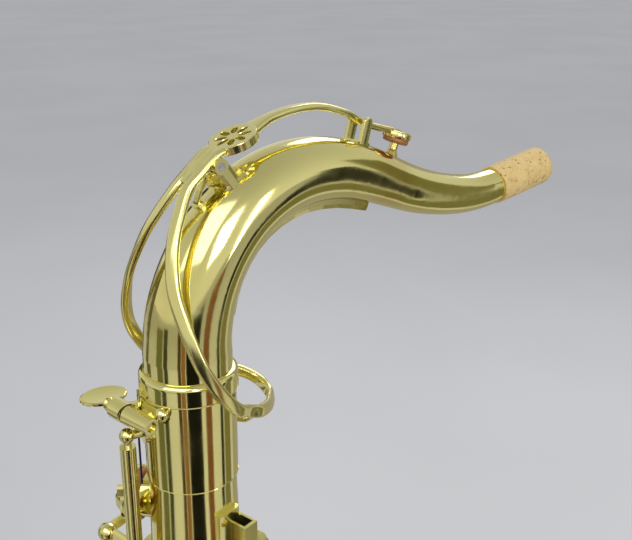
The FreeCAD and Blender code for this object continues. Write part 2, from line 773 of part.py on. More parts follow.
# Rods and posts. Each rod: where it stands, its ends and its posts, as shares of the body.
# A rod on the body is given by azimuth and reach share of the bottom radius.
body_rod_shares = {
    "top": (168, 0.722, (-0.0333, 0.054)),
    "palm": (262, 0.806, (0.062, 0.1052, 0.1474, 0.1915)),
    "upper": (217, 0.973, (0.1965, 0.2760, 0.4258)),
    "lower": (200, 1.175, (0.4733, 0.6187, 0.7904)),
    "pinky": (172, 1.242, (0.7957, 0.9665)),
    "side_e": (64, 1.107, (0.071, 0.510)),
    "side_f_sharp": (51, 1.20, (0.046, 0.655)),
    "side_c": (38, 1.10, (0.190, 0.560)),
    "front_f": (174, 0.90, (0.116, 0.169)),
    "side_b_flat": (25, 1.0, (0.270, 0.610)),
    "g_sharp": (298, 1.007, (0.384, 0.480)),
}
# A rod on the bell is given by its way across, its plate in the left little finger's table
# and the share of the bell's height at which it ends.
bell_rod_shares = {
    "c_sharp": (0.340, 1, 0.045),
    "b": (0.235, 2, 0.225),
    "b_flat": (0.131, 3, 0.425),
}
table_top = height(0.4566)
bell_rod_reach_share = 1.02
rods = {}
post_solids = []
rod_solids = []
spring_solids = []


def post(rod_point, foot_point, carrier, ball_radius=post_ball_radius):
    way = (rod_point - foot_point).normalize()
    solid = cylinder(foot_point - way * overrun, rod_point, post_stem_radius)
    solid = solid.fuse(cylinder(foot_point - way * overrun, foot_point + way * post_foot_height,
                                post_foot_radius))
    solid = solid.fuse(ball(rod_point, ball_radius)).cut(carrier)
    return solid.cut(cylinder(rod_point - UP * overrun * 2, rod_point + UP * overrun * 2,
                              rod_radius + pivot_clearance))


def needle_spring(rod_point, foot_point):
    """A wire that stands in the post's stem and runs beside the key's tube."""
    start = rod_point + (foot_point - rod_point).normalize() * spring_offset
    wire = cylinder(start, start - UP * spring_length, spring_radius)
    return wire.cut(cylinder(rod_point, foot_point, post_stem_radius))


for rod_name, (azimuth, reach_share, post_shares) in body_rod_shares.items():
    reach = reach_share * body_bottom_radius
    levels = [height(share) for share in post_shares]
    rods[rod_name] = polar(azimuth, reach, 0)
    for z in levels:
        foot = direction(azimuth) * (receiver_radius if z > -receiver_height else body_radius(z))
        carrier = body_carrier if z < -receiver_height else cylinder(body_top, V(0, 0, 0),
                                                                     receiver_radius)
        ball_radius = top_ball_radius if z > -receiver_height else post_ball_radius
        post_solids.append(post(rods[rod_name] + UP * z, foot + UP * z, carrier, ball_radius))
        if z != levels[-1]:
            spring_solids.append(needle_spring(rods[rod_name] + UP * z, foot + UP * z))
    rod_solids.append(cylinder(rods[rod_name] + UP * levels[0], rods[rod_name] + UP * levels[-1],
                               rod_radius))
bell_rod_levels = {}
for rod_name, (across_share, plate_number, foot_share) in bell_rod_shares.items():
    place = V(-bell_offset + bell_rod_reach_share * bell_rim_radius,
              across_share * bell_rim_radius, 0)
    rods[rod_name] = place
    plate_z = table_top - plate_number * table_pitch
    levels = [plate_z + arm_width / 2 + seat_gap + post_ball_radius,
              bell_foot.z + foot_share * bell_height]
    bell_rod_levels[rod_name] = levels
    spoke = V(place.x + bell_offset, place.y, 0).normalize()
    for z in levels:
        foot = V(-bell_offset, 0, z) + spoke * bell_radius(z)
        post_solids.append(post(place + UP * z, foot, bell_outer))
        if z != levels[-1]:
            spring_solids.append(needle_spring(place + UP * z, foot))
    rod_solids.append(cylinder(place + UP * levels[0], place + UP * levels[-1], rod_radius))


# Keys on upright rods


def cup_solids(hole, proud=pad_proud):
    """The metal cup and its pad, closed on the tone hole."""
    normal = hole["normal"]
    start = hole["centre"] + normal * (hole["rim"] + seat_gap)
    pad_radius = hole["radius"] + pad_overlap
    felt = pad_height + proud - pad_proud
    pad = cylinder(start, start + normal * felt, pad_radius)
    base = start + normal * proud
    top = base + normal * cup_height
    metal = cylinder(base, top, pad_radius + cup_wall)
    dome = Part.makeCone(pad_radius, pad_radius * 0.6, cup_dome, top, normal)
    metal = metal.fuse(dome).cut(cylinder(start, start + normal * felt, pad_radius))
    return metal, pad, top + normal * cup_dome


def key_tube(rod_point, high, low):
    return cylinder(rod_point + UP * high, rod_point + UP * low, key_tube_radius)


def key_bore(rod_point, high, low):
    return cylinder(rod_point + UP * (high + overrun), rod_point + UP * (low - overrun),
                    rod_radius + pivot_clearance)


def cup_arm(rod_point, hole, cup_top):
    """An arm from the rod to the middle of the cup's back."""
    z = cup_top.z
    start = rod_point + UP * z
    over = cup_top + hole["normal"] * (arm_thickness * 0.3)
    side = start - over
    side = (side - hole["normal"] * side.dot(hole["normal"])).normalize()
    edge = over + side * (hole["radius"] * 0.75)
    return bar([start, edge, over - side * (hole["radius"] * 0.3)], UP,
               [arm_width, arm_width, arm_width * 0.6], arm_thickness)


def pearl_holder(point, normal):
    holder = cylinder(point, point + normal * (pearl_base + pearl_height * 0.5),
                      pearl_radius + pearl_rim)
    pocket = cylinder(point + normal * pearl_base, point + normal * (pearl_base + pearl_height),
                      pearl_radius)
    pearl = cylinder(point + normal * pearl_base, point + normal * (pearl_base + pearl_height),
                     pearl_radius)
    return holder.cut(pocket), pearl


def turn_sign(rod_point, hole):
    """The sign of a turn about the rod that lifts the cup off its hole."""
    middle = hole["centre"] + hole["normal"] * hole["rim"]
    way = UP.cross(V(middle.x - rod_point.x, middle.y - rod_point.y, 0))
    return 1 if way.dot(hole["normal"]) > 0 else -1


# Each row: key, rod, ends of its tube (shares of the body), lift, pearl place
stack_rows = (
    ("c_vent_key", "upper", (0.2030, 0.2290), small_lift, None),
    ("b_key", "upper", (0.2299, 0.2690), small_lift, 0.35),
    ("bis_key", "upper", (0.2830, 0.3115), small_lift, None),
    ("a_key", "upper", (0.3124, 0.3650), stack_lift, 0.2),
    ("g_key", "upper", (0.3659, 0.4187), stack_lift, 0.2),
    ("f_sharp_key", "lower", (0.4804, 0.5438), stack_lift, None),
    ("f_key", "lower", (0.5447, 0.6116), stack_lift, 0.2),
    ("e_key", "lower", (0.6257, 0.7024), stack_lift, 0.2),
    ("d_key", "lower", (0.7032, 0.7834), stack_lift, 0.2),
)
side_rows = (
    ("high_f_key", "palm", (0.0690, 0.0981), 305, 1.30, 0.0835, 0.0335),
    ("high_e_flat_key", "palm", (0.1122, 0.1404), 305, 1.30, 0.1260, 0.0335),
    ("high_d_key", "palm", (0.1545, 0.1844), 305, 1.30, 0.1690, 0.0335),
    ("high_e_key", "side_e", (0.0778, 0.5030), 40, 1.58, 0.478, 0.040),
    ("side_c_key", "side_c", (0.1970, 0.5530), 22, 1.52, 0.528, 0.040),
    ("side_b_flat_key", "side_b_flat", (0.2770, 0.6030), 9, 1.50, 0.578, 0.040),
)
key_solids = {}


def finish_key(name, metal, loose, rod_point, high, low, rest_turn):
    metal = metal.cut(key_bore(rod_point, high, low))
    for solid in loose:
        metal = metal.cut(solid)
    solids = [metal] + loose
    for solid in solids:
        if rest_turn:
            solid.rotate(rod_point, UP, rest_turn)
    key_solids[name] = Part.makeCompound(solids) if loose else metal
    save(name, key_solids[name])


def lift_angle(rod_point, hole, lift):
    middle = hole["centre"] + hole["normal"] * hole["rim"]
    arm = V(middle.x - rod_point.x, middle.y - rod_point.y, 0).Length
    return math.degrees(lift / arm)


for name, rod_name, tube_shares, lift, pearl_share in stack_rows:
    rod_point = rods[rod_name]
    hole = holes[name]
    high, low = [height(share) for share in tube_shares]
    metal, pad, cup_top = cup_solids(hole)
    metal = metal.fuse([cup_arm(rod_point, hole, cup_top), key_tube(rod_point, high, low)])
    loose = [pad]
    if pearl_share is not None:
        seat = cup_top - UP * (hole["radius"] * pearl_share)
        holder, pearl = pearl_holder(seat, hole["normal"])
        metal = metal.fuse(holder)
        loose.append(pearl)
    sign = turn_sign(rod_point, hole)
    angle = lift_angle(rod_point, hole, lift)
    finish_key(name, metal, loose, rod_point, high, low, sign * angle)
    closing = sorted((0, -sign * angle))
    note_pivot(name + "_hinge", rod_point, UP, *closing)

for name, rod_name, tube_shares, azimuth, reach_share, touch_share, long_share in side_rows:
    rod_point = rods[rod_name]
    hole = holes[name]
    high, low = [height(share) for share in tube_shares]
    metal, pad, cup_top = cup_solids(hole)
    reach = reach_share * body_bottom_radius
    touch_z = height(touch_share)
    plate = rounded_plate(azimuth, reach, touch_z, long_share * body_length, paddle_width,
                          paddle_thickness)
    touch_middle = polar(azimuth, reach + paddle_thickness / 2, touch_z)
    elbow = rod_point + V(rod_point.x, rod_point.y, 0).normalize() * (2 * key_tube_radius)
    touch_arm = bar([rod_point + UP * touch_z, elbow + UP * touch_z, touch_middle], UP,
                    arm_width, arm_thickness)
    metal = metal.fuse([cup_arm(rod_point, hole, cup_top), key_tube(rod_point, high, low),
                        plate, touch_arm])
    sign = turn_sign(rod_point, hole)
    angle = lift_angle(rod_point, hole, small_lift)
    finish_key(name, metal, [pad], rod_point, high, low, 0)
    note_pivot(name + "_hinge", rod_point, UP, *sorted((0, sign * angle)))

# Top key, and the long lever that works it from the right hand
top_rod = rods["top"]
top_hole = holes["high_f_sharp_key"]
top_high = height(-0.0266)
top_low = height(0.047)
metal, pad, cup_top = cup_solids(top_hole, top_pad_proud)
link_z = height(0.043)
link_end = polar(147, 0.92 * body_bottom_radius, link_z)
metal = metal.fuse([cup_arm(top_rod, top_hole, cup_top), key_tube(top_rod, top_high, top_low),
                    bar([top_rod + UP * link_z, link_end], UP, arm_width * 0.8, arm_thickness)])
fin_z = height(0.0025)
fin_way = V(-1, 0.6, 0).normalize()
metal = metal.fuse(bar([top_rod + UP * fin_z, top_rod + fin_way * (1.7 * key_tube_radius)
                        + UP * fin_z], UP, arm_width * 0.7, arm_thickness))
finish_key("high_f_sharp_key", metal.cut(pad), [], top_rod, top_high, top_low, 0)
save("high_f_sharp_pad", pad)
top_sign = turn_sign(top_rod, top_hole)
top_angle = lift_angle(top_rod, top_hole, small_lift * 0.7)
note_pivot("high_f_sharp_key_hinge", top_rod, UP, *sorted((0, top_sign * top_angle)))
lever_rod = rods["side_f_sharp"]
lever_high = height(0.053)
lever_low = height(0.648)
lever_z = height(0.0594)
lever_reach = 1.2 * body_bottom_radius
lever = key_tube(lever_rod, lever_high, lever_low)
knob = polar(137, 1.04 * body_bottom_radius, height(0.0475))
lever = lever.fuse(bar([lever_rod + UP * lever_z, polar(92, lever_reach, lever_z),
                        polar(122, lever_reach, lever_z), knob], UP, arm_width * 0.7,
                       arm_thickness))
lever = lever.fuse(ball(knob, lever_knob_radius))
touch_z = height(0.630)
lever = lever.fuse(rounded_plate(30, 1.55 * body_bottom_radius, touch_z, 0.036 * body_length,
                                 paddle_width * 0.9, paddle_thickness))
lever = lever.fuse(bar([lever_rod + UP * touch_z,
                        polar(30, 1.55 * body_bottom_radius + paddle_thickness / 2, touch_z)],
                       UP, arm_width, arm_thickness))
finish_key("high_f_sharp_lever", lever, [], lever_rod, lever_high, lever_low, 0)
note_pivot("high_f_sharp_lever_hinge", lever_rod, UP, -long_lever_turn, 0)

# Front F key: a short lever whose finger lifts the edge of the high F cup
front_rod = rods["front_f"]
front_high = height(0.1224)
front_low = height(0.1626)
front_touch = height(0.150)
front_key = key_tube(front_rod, front_high, front_low)
front_key = front_key.fuse(rounded_plate(158, 1.06 * body_bottom_radius, front_touch,
                                         front_plate_long, front_plate_wide,
                                         paddle_thickness))
front_key = front_key.fuse(bar([front_rod + UP * front_touch,
                                polar(168, 1.06 * body_bottom_radius, front_touch),
                                polar(158, 1.08 * body_bottom_radius, front_touch)], UP,
                               arm_width, arm_thickness))
front_finger = height(0.128)
front_key = front_key.fuse(bar([front_rod + UP * front_finger,
                                polar(188, 0.95 * body_bottom_radius, front_finger)], UP,
                               arm_width * 0.6, arm_thickness))
front_key = front_key.fuse(bar([polar(188, 0.95 * body_bottom_radius, height(0.131)),
                                polar(187, 0.88 * body_bottom_radius, height(0.094))],
                               ACROSS, arm_width * 0.5, arm_thickness))
finish_key("front_f_key", front_key, [], front_rod, front_high, front_low, 0)
note_pivot("front_f_key_hinge", front_rod, UP, -lever_turn, 0)

# G sharp key and its table lever
g_rod = rods["g_sharp"]
g_hole = holes["g_sharp_key"]
g_high = height(0.4275)
g_low = height(0.473)
metal, pad, cup_top = cup_solids(g_hole)
metal = metal.fuse([cup_arm(g_rod, g_hole, cup_top), key_tube(g_rod, g_high, g_low)])
finish_key("g_sharp_key", metal, [pad], g_rod, g_high, g_low, 0)
g_sign = turn_sign(g_rod, g_hole)
g_angle = lift_angle(g_rod, g_hole, small_lift)
note_pivot("g_sharp_key_hinge", g_rod, UP, *sorted((0, g_sign * g_angle)))
table_x = -1.30 * body_bottom_radius
table_y = -1.33 * body_bottom_radius


def table_plate(index):
    z = table_top - index * table_pitch
    plate = Part.makeBox(table_long, paddle_thickness, table_high,
                         V(table_x - table_long / 2, table_y - paddle_thickness,
                           z - table_high / 2))
    corners = [edge for edge in plate.Edges
               if abs(edge.tangentAt(edge.FirstParameter).dot(ACROSS)) > 0.9]
    return plate.makeFillet(paddle_corner, corners)


g_lever_high = height(0.391)
g_lever_low = height(0.4265)
g_arm_z = height(0.410)
g_lever = key_tube(g_rod, g_lever_high, g_lever_low)
g_lever = g_lever.fuse(bar([g_rod + UP * g_arm_z, V(-0.5 * body_bottom_radius, table_y, g_arm_z),
                            V(table_x, table_y - paddle_thickness / 2, g_arm_z - arm_width)],
                           UP, arm_width * 0.8, arm_thickness))
g_lever = g_lever.fuse(bar([V(table_x, table_y - paddle_thickness / 2, g_arm_z - arm_width * 0.5),
                            V(table_x, table_y - paddle_thickness / 2, table_top)], ALONG,
                           arm_width * 0.8, arm_thickness))
g_lever = g_lever.fuse(table_plate(0))
finish_key("g_sharp_lever", g_lever, [], g_rod, g_lever_high, g_lever_low, 0)
note_pivot("g_sharp_lever_hinge", g_rod, UP, -lever_turn, 0)

# Bell keys: long tubes from the little-finger table to the large cups
bell_rows = (("low_c_sharp_key", "c_sharp"), ("low_b_key", "b"), ("low_b_flat_key", "b_flat"))
bell_arm_x = -bell_offset + bell_rim_radius * 0.52
for index, (name, rod_name) in enumerate(bell_rows):
    rod_point = rods[rod_name]
    hole = holes[name]
    tube_end_gap = post_ball_radius + seat_gap
    high = bell_rod_levels[rod_name][0] - tube_end_gap
    low = bell_rod_levels[rod_name][1] + tube_end_gap
    metal, pad, cup_top = cup_solids(hole)
    over = cup_top + hole["normal"] * (arm_thickness * 0.3)
    bend = V(bell_arm_x, over.y * 0.84, over.z)
    arm = bar([rod_point + UP * over.z, bend, over + ALONG * (hole["radius"] * 0.5),
               over - ALONG * (hole["radius"] * 0.3)], UP,
              [arm_width, arm_width * 1.3, arm_width * 1.2, arm_width * 0.8], arm_thickness * 1.2)
    touch_z = table_top - (index + 1) * table_pitch
    touch_arm = bar([rod_point + UP * touch_z,
                     V(rod_point.x + 2 * key_tube_radius, table_y * 0.5, touch_z),
                     V(table_x, table_y - paddle_thickness / 2, touch_z)],
                    UP, arm_width, arm_thickness)
    metal = metal.fuse([arm, touch_arm, table_plate(index + 1), key_tube(rod_point, high, low)])
    sign = turn_sign(rod_point, hole)
    angle = lift_angle(rod_point, hole, large_lift)
    finish_key(name, metal, [pad], rod_point, high, low, sign * angle)
    note_pivot(name + "_hinge", rod_point, UP, *sorted((0, -sign * angle)))

# Right little-finger keys: E flat rests closed, low C rests open
pinky_rod = rods["pinky"]
pinky_rows = (("e_flat_key", (0.8027, 0.8714), False, stack_lift, 203, 1.36, 0.818),
              ("low_c_key", (0.8723, 0.9595), True, large_lift, 153, 1.45, 0.812))
for name, tube_shares, rests_open, lift, azimuth, reach_share, touch_share in pinky_rows:
    hole = holes[name]
    high, low = [height(share) for share in tube_shares]
    metal, pad, cup_top = cup_solids(hole)
    reach = reach_share * body_bottom_radius
    touch_z = height(touch_share)
    plate = rounded_plate(azimuth, reach, touch_z, table_high, pinky_long, paddle_thickness)
    start_z = min(touch_z, high - arm_width)
    outer_reach = reach + paddle_thickness / 2
    below_plate = polar(azimuth, outer_reach, start_z)
    touch_arm = bar([pinky_rod + UP * start_z,
                     polar((azimuth + 172) / 2, outer_reach, start_z), below_plate],
                    UP, arm_width, arm_thickness)
    if touch_z - start_z > arm_width:
        touch_arm = touch_arm.fuse(bar([below_plate - UP * (arm_width / 2),
                                        below_plate + UP * (touch_z - start_z)],
                                       UP.cross(direction(azimuth)), arm_width, arm_thickness))
    metal = metal.fuse([cup_arm(pinky_rod, hole, cup_top), key_tube(pinky_rod, high, low),
                        plate, touch_arm])
    sign = turn_sign(pinky_rod, hole)
    angle = lift_angle(pinky_rod, hole, lift)
    finish_key(name, metal, [pad], pinky_rod, high, low, sign * angle if rests_open else 0)
    turn_end = -sign * angle if rests_open else sign * angle
    note_pivot(name + "_hinge", pinky_rod, UP, *sorted((0, turn_end)))


# Guards over the large cups
def guard(hole, lift, carrier):
    normal = hole["normal"]
    cup_radius = hole["radius"] + pad_overlap + cup_wall
    level = (hole["rim"] + seat_gap + pad_proud + cup_height + cup_dome + lift
             + arm_thickness * 2 + guard_clearance)
    centre = hole["centre"] + normal * level
    ring_outer = cup_radius * 0.55
    solid = pipe(centre, centre + normal * guard_thickness, ring_outer, ring_outer - guard_width)
    for sign in (-1, 1):
        offset = UP * (sign * (cup_radius + 2 * post_stem_radius))
        leg_top = centre + offset + normal * guard_thickness
        leg_foot = hole["centre"] + offset + normal * (hole["rim"] - chimney_rise - 2 * overrun)
        solid = solid.fuse(cylinder(leg_foot, leg_top, post_stem_radius))
        solid = solid.fuse(bar([centre + UP * (sign * (ring_outer - guard_width / 2))
                                + normal * (guard_thickness / 2),
                                centre + offset + normal * (guard_thickness / 2)],
                               ALONG if abs(normal.y) > 0.95 else UP.cross(normal),
                               guard_width, guard_thickness))
    return max(solid.cut(carrier).Solids, key=lambda piece: piece.Volume)


bell_guards = [guard(holes[name], large_lift, bell_outer)
               for name in ("low_c_sharp_key", "low_b_key", "low_b_flat_key")]
save("bell_key_guards", Part.makeCompound(bell_guards))
save("low_key_guards", Part.makeCompound([guard(holes["e_flat_key"], stack_lift, body_outer),
                                          guard(holes["low_c_key"], large_lift, body_outer)]))


# Octave mechanism on the back of the body


def ears(centre, half_gap, thickness, width, carrier):
    """Two ears with a cross bore, standing on the tube behind the pivot."""
    out = V(centre.x, centre.y, 0).normalize()
    side = UP.cross(out)
    solid = None
    for sign in (-1, 1):
        middle = centre + side * (sign * (half_gap + thickness / 2))
        foot = middle - out * (centre - UP * centre.z).Length * 0.5
        ear = bar([foot, middle], side, thickness, width)
        ear = ear.fuse(cylinder(centre + side * sign * half_gap,
                                centre + side * sign * (half_gap + thickness), width / 2))
        solid = ear if solid is None else solid.fuse(ear)
    base_low = out * body_radius(centre.z)
    solid = solid.fuse(bar([base_low + UP * (centre.z - width), base_low + UP * (centre.z + width)],
                           side, 2 * (half_gap + thickness), 2 * solder_land))
    bore = cylinder(centre - side * (half_gap + thickness) * 2,
                    centre + side * (half_gap + thickness) * 2, rod_radius + pivot_clearance)
    pin = cylinder(centre - side * (half_gap + thickness), centre + side * (half_gap + thickness),
                   rod_radius)
    return solid.cut(carrier).cut(bore), pin


pin_pivot_z = height(0.119)
pin_foot_z = height(0.225)
pin_elbow = polar(pin_azimuth, pin_elbow_reach, -pin_elbow_drop)
pin_knee = polar(pin_knee_azimuth, pin_knee_reach, -pin_knee_drop)
pin_tip = V(pin_tip_reach, 0, -pin_tip_drop)
pin_pivot = V(pin_pivot_x, 0, pin_pivot_z)
pin_foot = V(pin_foot_x, 0, pin_foot_z)
tube_half = octave_half_gap - seat_gap
octave_pin = cylinder(pin_elbow, pin_knee, octave_pin_radius)
octave_pin = octave_pin.fuse([cylinder(pin_knee, pin_tip, octave_pin_radius),
                              ball(pin_knee, octave_pin_radius),
                              ball(pin_elbow, octave_pin_radius), ball(pin_tip, octave_pin_radius),
                              cylinder(pin_elbow, pin_pivot, octave_pin_radius),
                              cylinder(pin_pivot, pin_foot, octave_pin_radius),
                              ball(pin_foot, octave_pin_radius),
                              cylinder(pin_pivot - ACROSS * tube_half, pin_pivot + ACROSS * tube_half,
                                       key_tube_radius)])
octave_pin = octave_pin.cut(cylinder(pin_pivot - ACROSS * overrun * 3, pin_pivot + ACROSS * overrun * 3,
                                     rod_radius + pivot_clearance))
save("octave_pin", octave_pin)
pin_ears, pin_axle = ears(pin_pivot, octave_half_gap, ear_thickness, ear_width, body_outer)
post_solids.append(pin_ears)
rod_solids.append(pin_axle)
pin_angle = math.degrees(pin_travel / (pin_tip.z - pin_pivot_z))
note_pivot("octave_pin_pivot", pin_pivot, ACROSS, 0, pin_angle)

lever_pivot = V(thumb_lever_x, 0, height(0.312))
lever_tip = V(pin_foot_x + 2 * octave_pin_radius + thumb_lever_gap, 0,
              pin_foot_z + octave_pin_radius)
thumb_lever = cylinder(lever_pivot - ACROSS * tube_half, lever_pivot + ACROSS * tube_half,
                       key_tube_radius)
thumb_lever = thumb_lever.fuse(bar([lever_pivot, V(lever_pivot.x + solder_land, 0, height(0.302)),
                                    V(thumb_plate_x, 0, height(0.290)),
                                    V(thumb_plate_x, 0, height(0.262)),
                                    V(lever_tip.x, 0, height(0.246)), lever_tip], ACROSS,
                                   [arm_width, arm_width, arm_width * 2.4, arm_width * 2.4,
                                    arm_width, arm_width * 0.7], arm_thickness))
thumb_lever = thumb_lever.cut(cylinder(lever_pivot - ACROSS * overrun * 3,
                                       lever_pivot + ACROSS * overrun * 3,
                                       rod_radius + pivot_clearance))
save("octave_thumb_lever", thumb_lever)
lever_ears, lever_axle = ears(lever_pivot, octave_half_gap, ear_thickness, ear_width, body_outer)
post_solids.append(lever_ears)
rod_solids.append(lever_axle)
foot_drop = math.radians(pin_angle) * (pin_pivot_z - pin_foot_z)
lever_angle = math.degrees(foot_drop / (lever_tip.z - lever_pivot.z))
note_pivot("octave_thumb_lever_pivot", lever_pivot, ACROSS, -lever_angle, 0)

# Body octave vent: a small pip and its key, turned away from the octave pin
vent_azimuth = -32
vent_z = height(0.148)
vent_out = direction(vent_azimuth)
vent_side = UP.cross(vent_out)
vent_base = UP * vent_z
vent_top = vent_base + vent_out * (body_radius(vent_z) + vent_pip_rise)
vent_pip = cylinder(vent_base, vent_top, vent_pip_radius).cut(body_outer)
vent_pip = vent_pip.cut(cylinder(vent_base, vent_top + vent_out * overrun, neck_pip_bore))
post_solids.append(vent_pip)
vent_pad_seat = vent_top + vent_out * seat_gap
vent_pivot_z = height(0.186)
vent_pivot_reach = body_radius(vent_pivot_z) + vent_pip_rise + key_tube_radius
vent_pivot = vent_out * vent_pivot_reach + UP * vent_pivot_z
vent_pad = cylinder(vent_pad_seat, vent_pad_seat + vent_out * neck_pad_height, vent_pad_radius)
vent_cup = cylinder(vent_pad_seat + vent_out * neck_pad_height * 0.6,
                    vent_pad_seat + vent_out * (neck_pad_height + vent_cup_rise),
                    vent_pad_radius + cup_wall)
vent_cup = vent_cup.cut(cylinder(vent_pad_seat, vent_pad_seat + vent_out * neck_pad_height,
                                 vent_pad_radius))
vent_key = vent_cup.fuse([cylinder(vent_pivot - vent_side * tube_half,
                                   vent_pivot + vent_side * tube_half, key_tube_radius),
                          bar([vent_pivot - UP * (arm_width * 2.2) + vent_out * arm_thickness * 1.5,
                               vent_pivot + vent_out * (key_tube_radius * 0.6),
                               vent_pad_seat + vent_out * (neck_pad_height + vent_cup_rise)], vent_side,
                              arm_width * 0.7, arm_thickness)])
vent_key = vent_key.cut(cylinder(vent_pivot - vent_side * overrun * 3,
                                 vent_pivot + vent_side * overrun * 3,
                                 rod_radius + pivot_clearance))
save("body_octave_key", Part.makeCompound([vent_key, vent_pad]))
vent_ears, vent_axle = ears(vent_pivot, octave_half_gap, ear_thickness, ear_width, body_outer)
post_solids.append(vent_ears)
rod_solids.append(vent_axle)
vent_angle = math.degrees(vent_lift / (vent_z - vent_pivot_z))
note_pivot("body_octave_key_pivot", vent_pivot, vent_side, 0, vent_angle)

save("key_posts", Part.makeCompound(post_solids))
save("key_springs", Part.makeCompound(spring_solids))
save("hinge_rods", Part.makeCompound(rod_solids))

# Strap ring on its foot
ring_middle = V(strap_ring_x, 0, -ring_height)
strap_ring = cylinder(ring_middle - ACROSS * (strap_ring_thickness / 2),
                      ring_middle + ACROSS * (strap_ring_thickness / 2), strap_ring_outer)
ring_seat = V(body_radius(-ring_height), 0, -ring_height)
strap_ring = strap_ring.fuse(bar([ring_seat - UP * (ring_plate_long / 2),
                                  ring_seat + UP * (ring_plate_long / 2)],
                                 ACROSS, ring_plate_wide, 2 * solder_land))
strap_ring = strap_ring.cut(body_outer)
strap_ring = strap_ring.cut(cylinder(ring_middle - ACROSS * overrun * 2,
                                     ring_middle + ACROSS * overrun * 2, strap_ring_bore))
save("strap_ring", strap_ring)

# Thumb rest for the left hand
rest_z = height(0.352)
rest_base = V(0, 0, rest_z)
thumb_rest = cylinder(rest_base, rest_base + ALONG * (body_radius(rest_z) + thumb_rest_height),
                      thumb_rest_radius)
rest_top = rest_base + ALONG * (body_radius(rest_z) + thumb_rest_height)
thumb_rest = thumb_rest.fuse(Part.makeCone(thumb_rest_radius, thumb_rest_radius * 0.7,
                                           thumb_rest_height * 0.4, rest_top, ALONG))
save("thumb_rest", thumb_rest.cut(body_outer))

# Thumb hook: a base plate on the body and a hook that slides up and down on it
hook_z = height(0.648)
hook_azimuth = -12
base_top = body_radius(hook_z) + hook_base_thick
hook_base = Part.makeBox(base_top, hook_base_wide, hook_base_long,
                         V(0, -hook_base_wide / 2, hook_z - hook_base_long / 2))
hook_base.rotate(V(0, 0, 0), UP, hook_azimuth)
save("thumb_hook_base", hook_base.cut(body_outer))
hook_start = base_top + seat_gap
hook_points = (V(hook_start + hook_thick / 2, 0, hook_z - hook_wide),
               V(hook_start + hook_thick / 2, 0, hook_z + hook_wide * 0.4),
               V(hook_start + hook_depth * 0.35, 0, hook_z + hook_wide * 0.8),
               V(hook_start + hook_depth * 0.75, 0, hook_z + hook_wide * 0.5),
               V(hook_start + hook_depth * 0.98, 0, hook_z - hook_wide * 0.5),
               V(hook_start + hook_depth, 0, hook_z - hook_wide * 1.4))
thumb_hook = bar(list(hook_points), ACROSS, [hook_base_wide * 0.8, hook_base_wide * 0.8, hook_wide,
                                             hook_wide, hook_wide, hook_wide * 0.9], hook_thick)
hook_screw_start = V(hook_start + hook_thick * 0.5, 0, hook_z - hook_wide * 0.4)
thumb_hook = thumb_hook.fuse(cylinder(hook_screw_start, hook_screw_start + ALONG * hook_screw_reach,
                                      hook_screw_radius))
thumb_hook.rotate(V(0, 0, 0), UP, hook_azimuth)
save("thumb_hook", thumb_hook)
note_pivot("thumb_hook_slide", V(0, 0, 0), UP, -hook_travel, hook_travel)

# Lyre holder near the top: a square socket on a curved foot, with its screw
lyre_box = Part.makeBox(lyre_box_depth, lyre_box_width, lyre_box_height,
                        V(-lyre_box_depth / 2, -lyre_box_width / 2, lyre_top - lyre_box_height))
lyre_base = Part.makeBox(lyre_reach, lyre_base_width, lyre_base_height,
                         V(1.4 * solder_land - lyre_reach, -lyre_base_width * 0.86,
                           lyre_base_top - lyre_base_height))
lyre_limit = cylinder(V(0, 0, lyre_base_top - lyre_base_height - overrun),
                      V(0, 0, lyre_base_top + overrun), body_radius(lyre_top) + 1.8 * solder_land)
lyre_limit.translate(polar(lyre_azimuth - lyre_turn, -lyre_reach, 0))
lyre = lyre_box.fuse(lyre_base.common(lyre_limit))
lyre_hole = Part.makeBox(lyre_hole_depth, lyre_hole_width, lyre_box_height + 2 * overrun,
                         V(-lyre_hole_depth / 2, -lyre_hole_width / 2,
                           lyre_top - lyre_box_height - overrun))
lyre = lyre.cut(lyre_hole)
lyre_screw_z = lyre_top - lyre_box_height * 0.66
lyre_screw_start = V(0, lyre_hole_width / 2 - solder_land * 0.3, lyre_screw_z)
lyre_head_start = V(0, lyre_box_width / 2 + 2 * solder_land, lyre_screw_z)
lyre = lyre.fuse(cylinder(V(0, lyre_box_width / 2 - tube_wall, lyre_screw_z),
                          lyre_head_start - ACROSS * seat_gap, lyre_head_radius * 0.75))
lyre = lyre.cut(cylinder(lyre_screw_start - ACROSS * solder_land, lyre_head_start + ACROSS * overrun,
                         lyre_screw_radius + pivot_clearance))
lyre_screw = cylinder(lyre_screw_start, lyre_head_start, lyre_screw_radius)
lyre_screw = lyre_screw.fuse(cylinder(lyre_head_start, lyre_head_start + ACROSS * lyre_head_length,
                                      lyre_head_radius))
for shape in (lyre, lyre_screw):
    shape.rotate(V(0, 0, 0), UP, lyre_turn)
    shape.translate(polar(lyre_azimuth, lyre_reach, 0))
rivet = polar(lyre_azimuth - 20, body_radius(lyre_top), lyre_base_top - 2.2 * lyre_rivet_radius)
lyre = lyre.cut(cylinder(rivet - direction(lyre_azimuth - 20) * overrun,
                         rivet + direction(lyre_azimuth - 20) * overrun, lyre_rivet_radius))
save("lyre_holder", lyre.cut(body_outer))
save("lyre_screw", lyre_screw)
note_pivot("lyre_screw_turn", polar(lyre_azimuth, lyre_reach, lyre_screw_z),
           direction(lyre_turn + 90), -screw_turn, screw_turn)

for pivot in pivots:
    print("pivot", *pivot)
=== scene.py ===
import json
import math

import bpy
from mathutils import Matrix, Vector


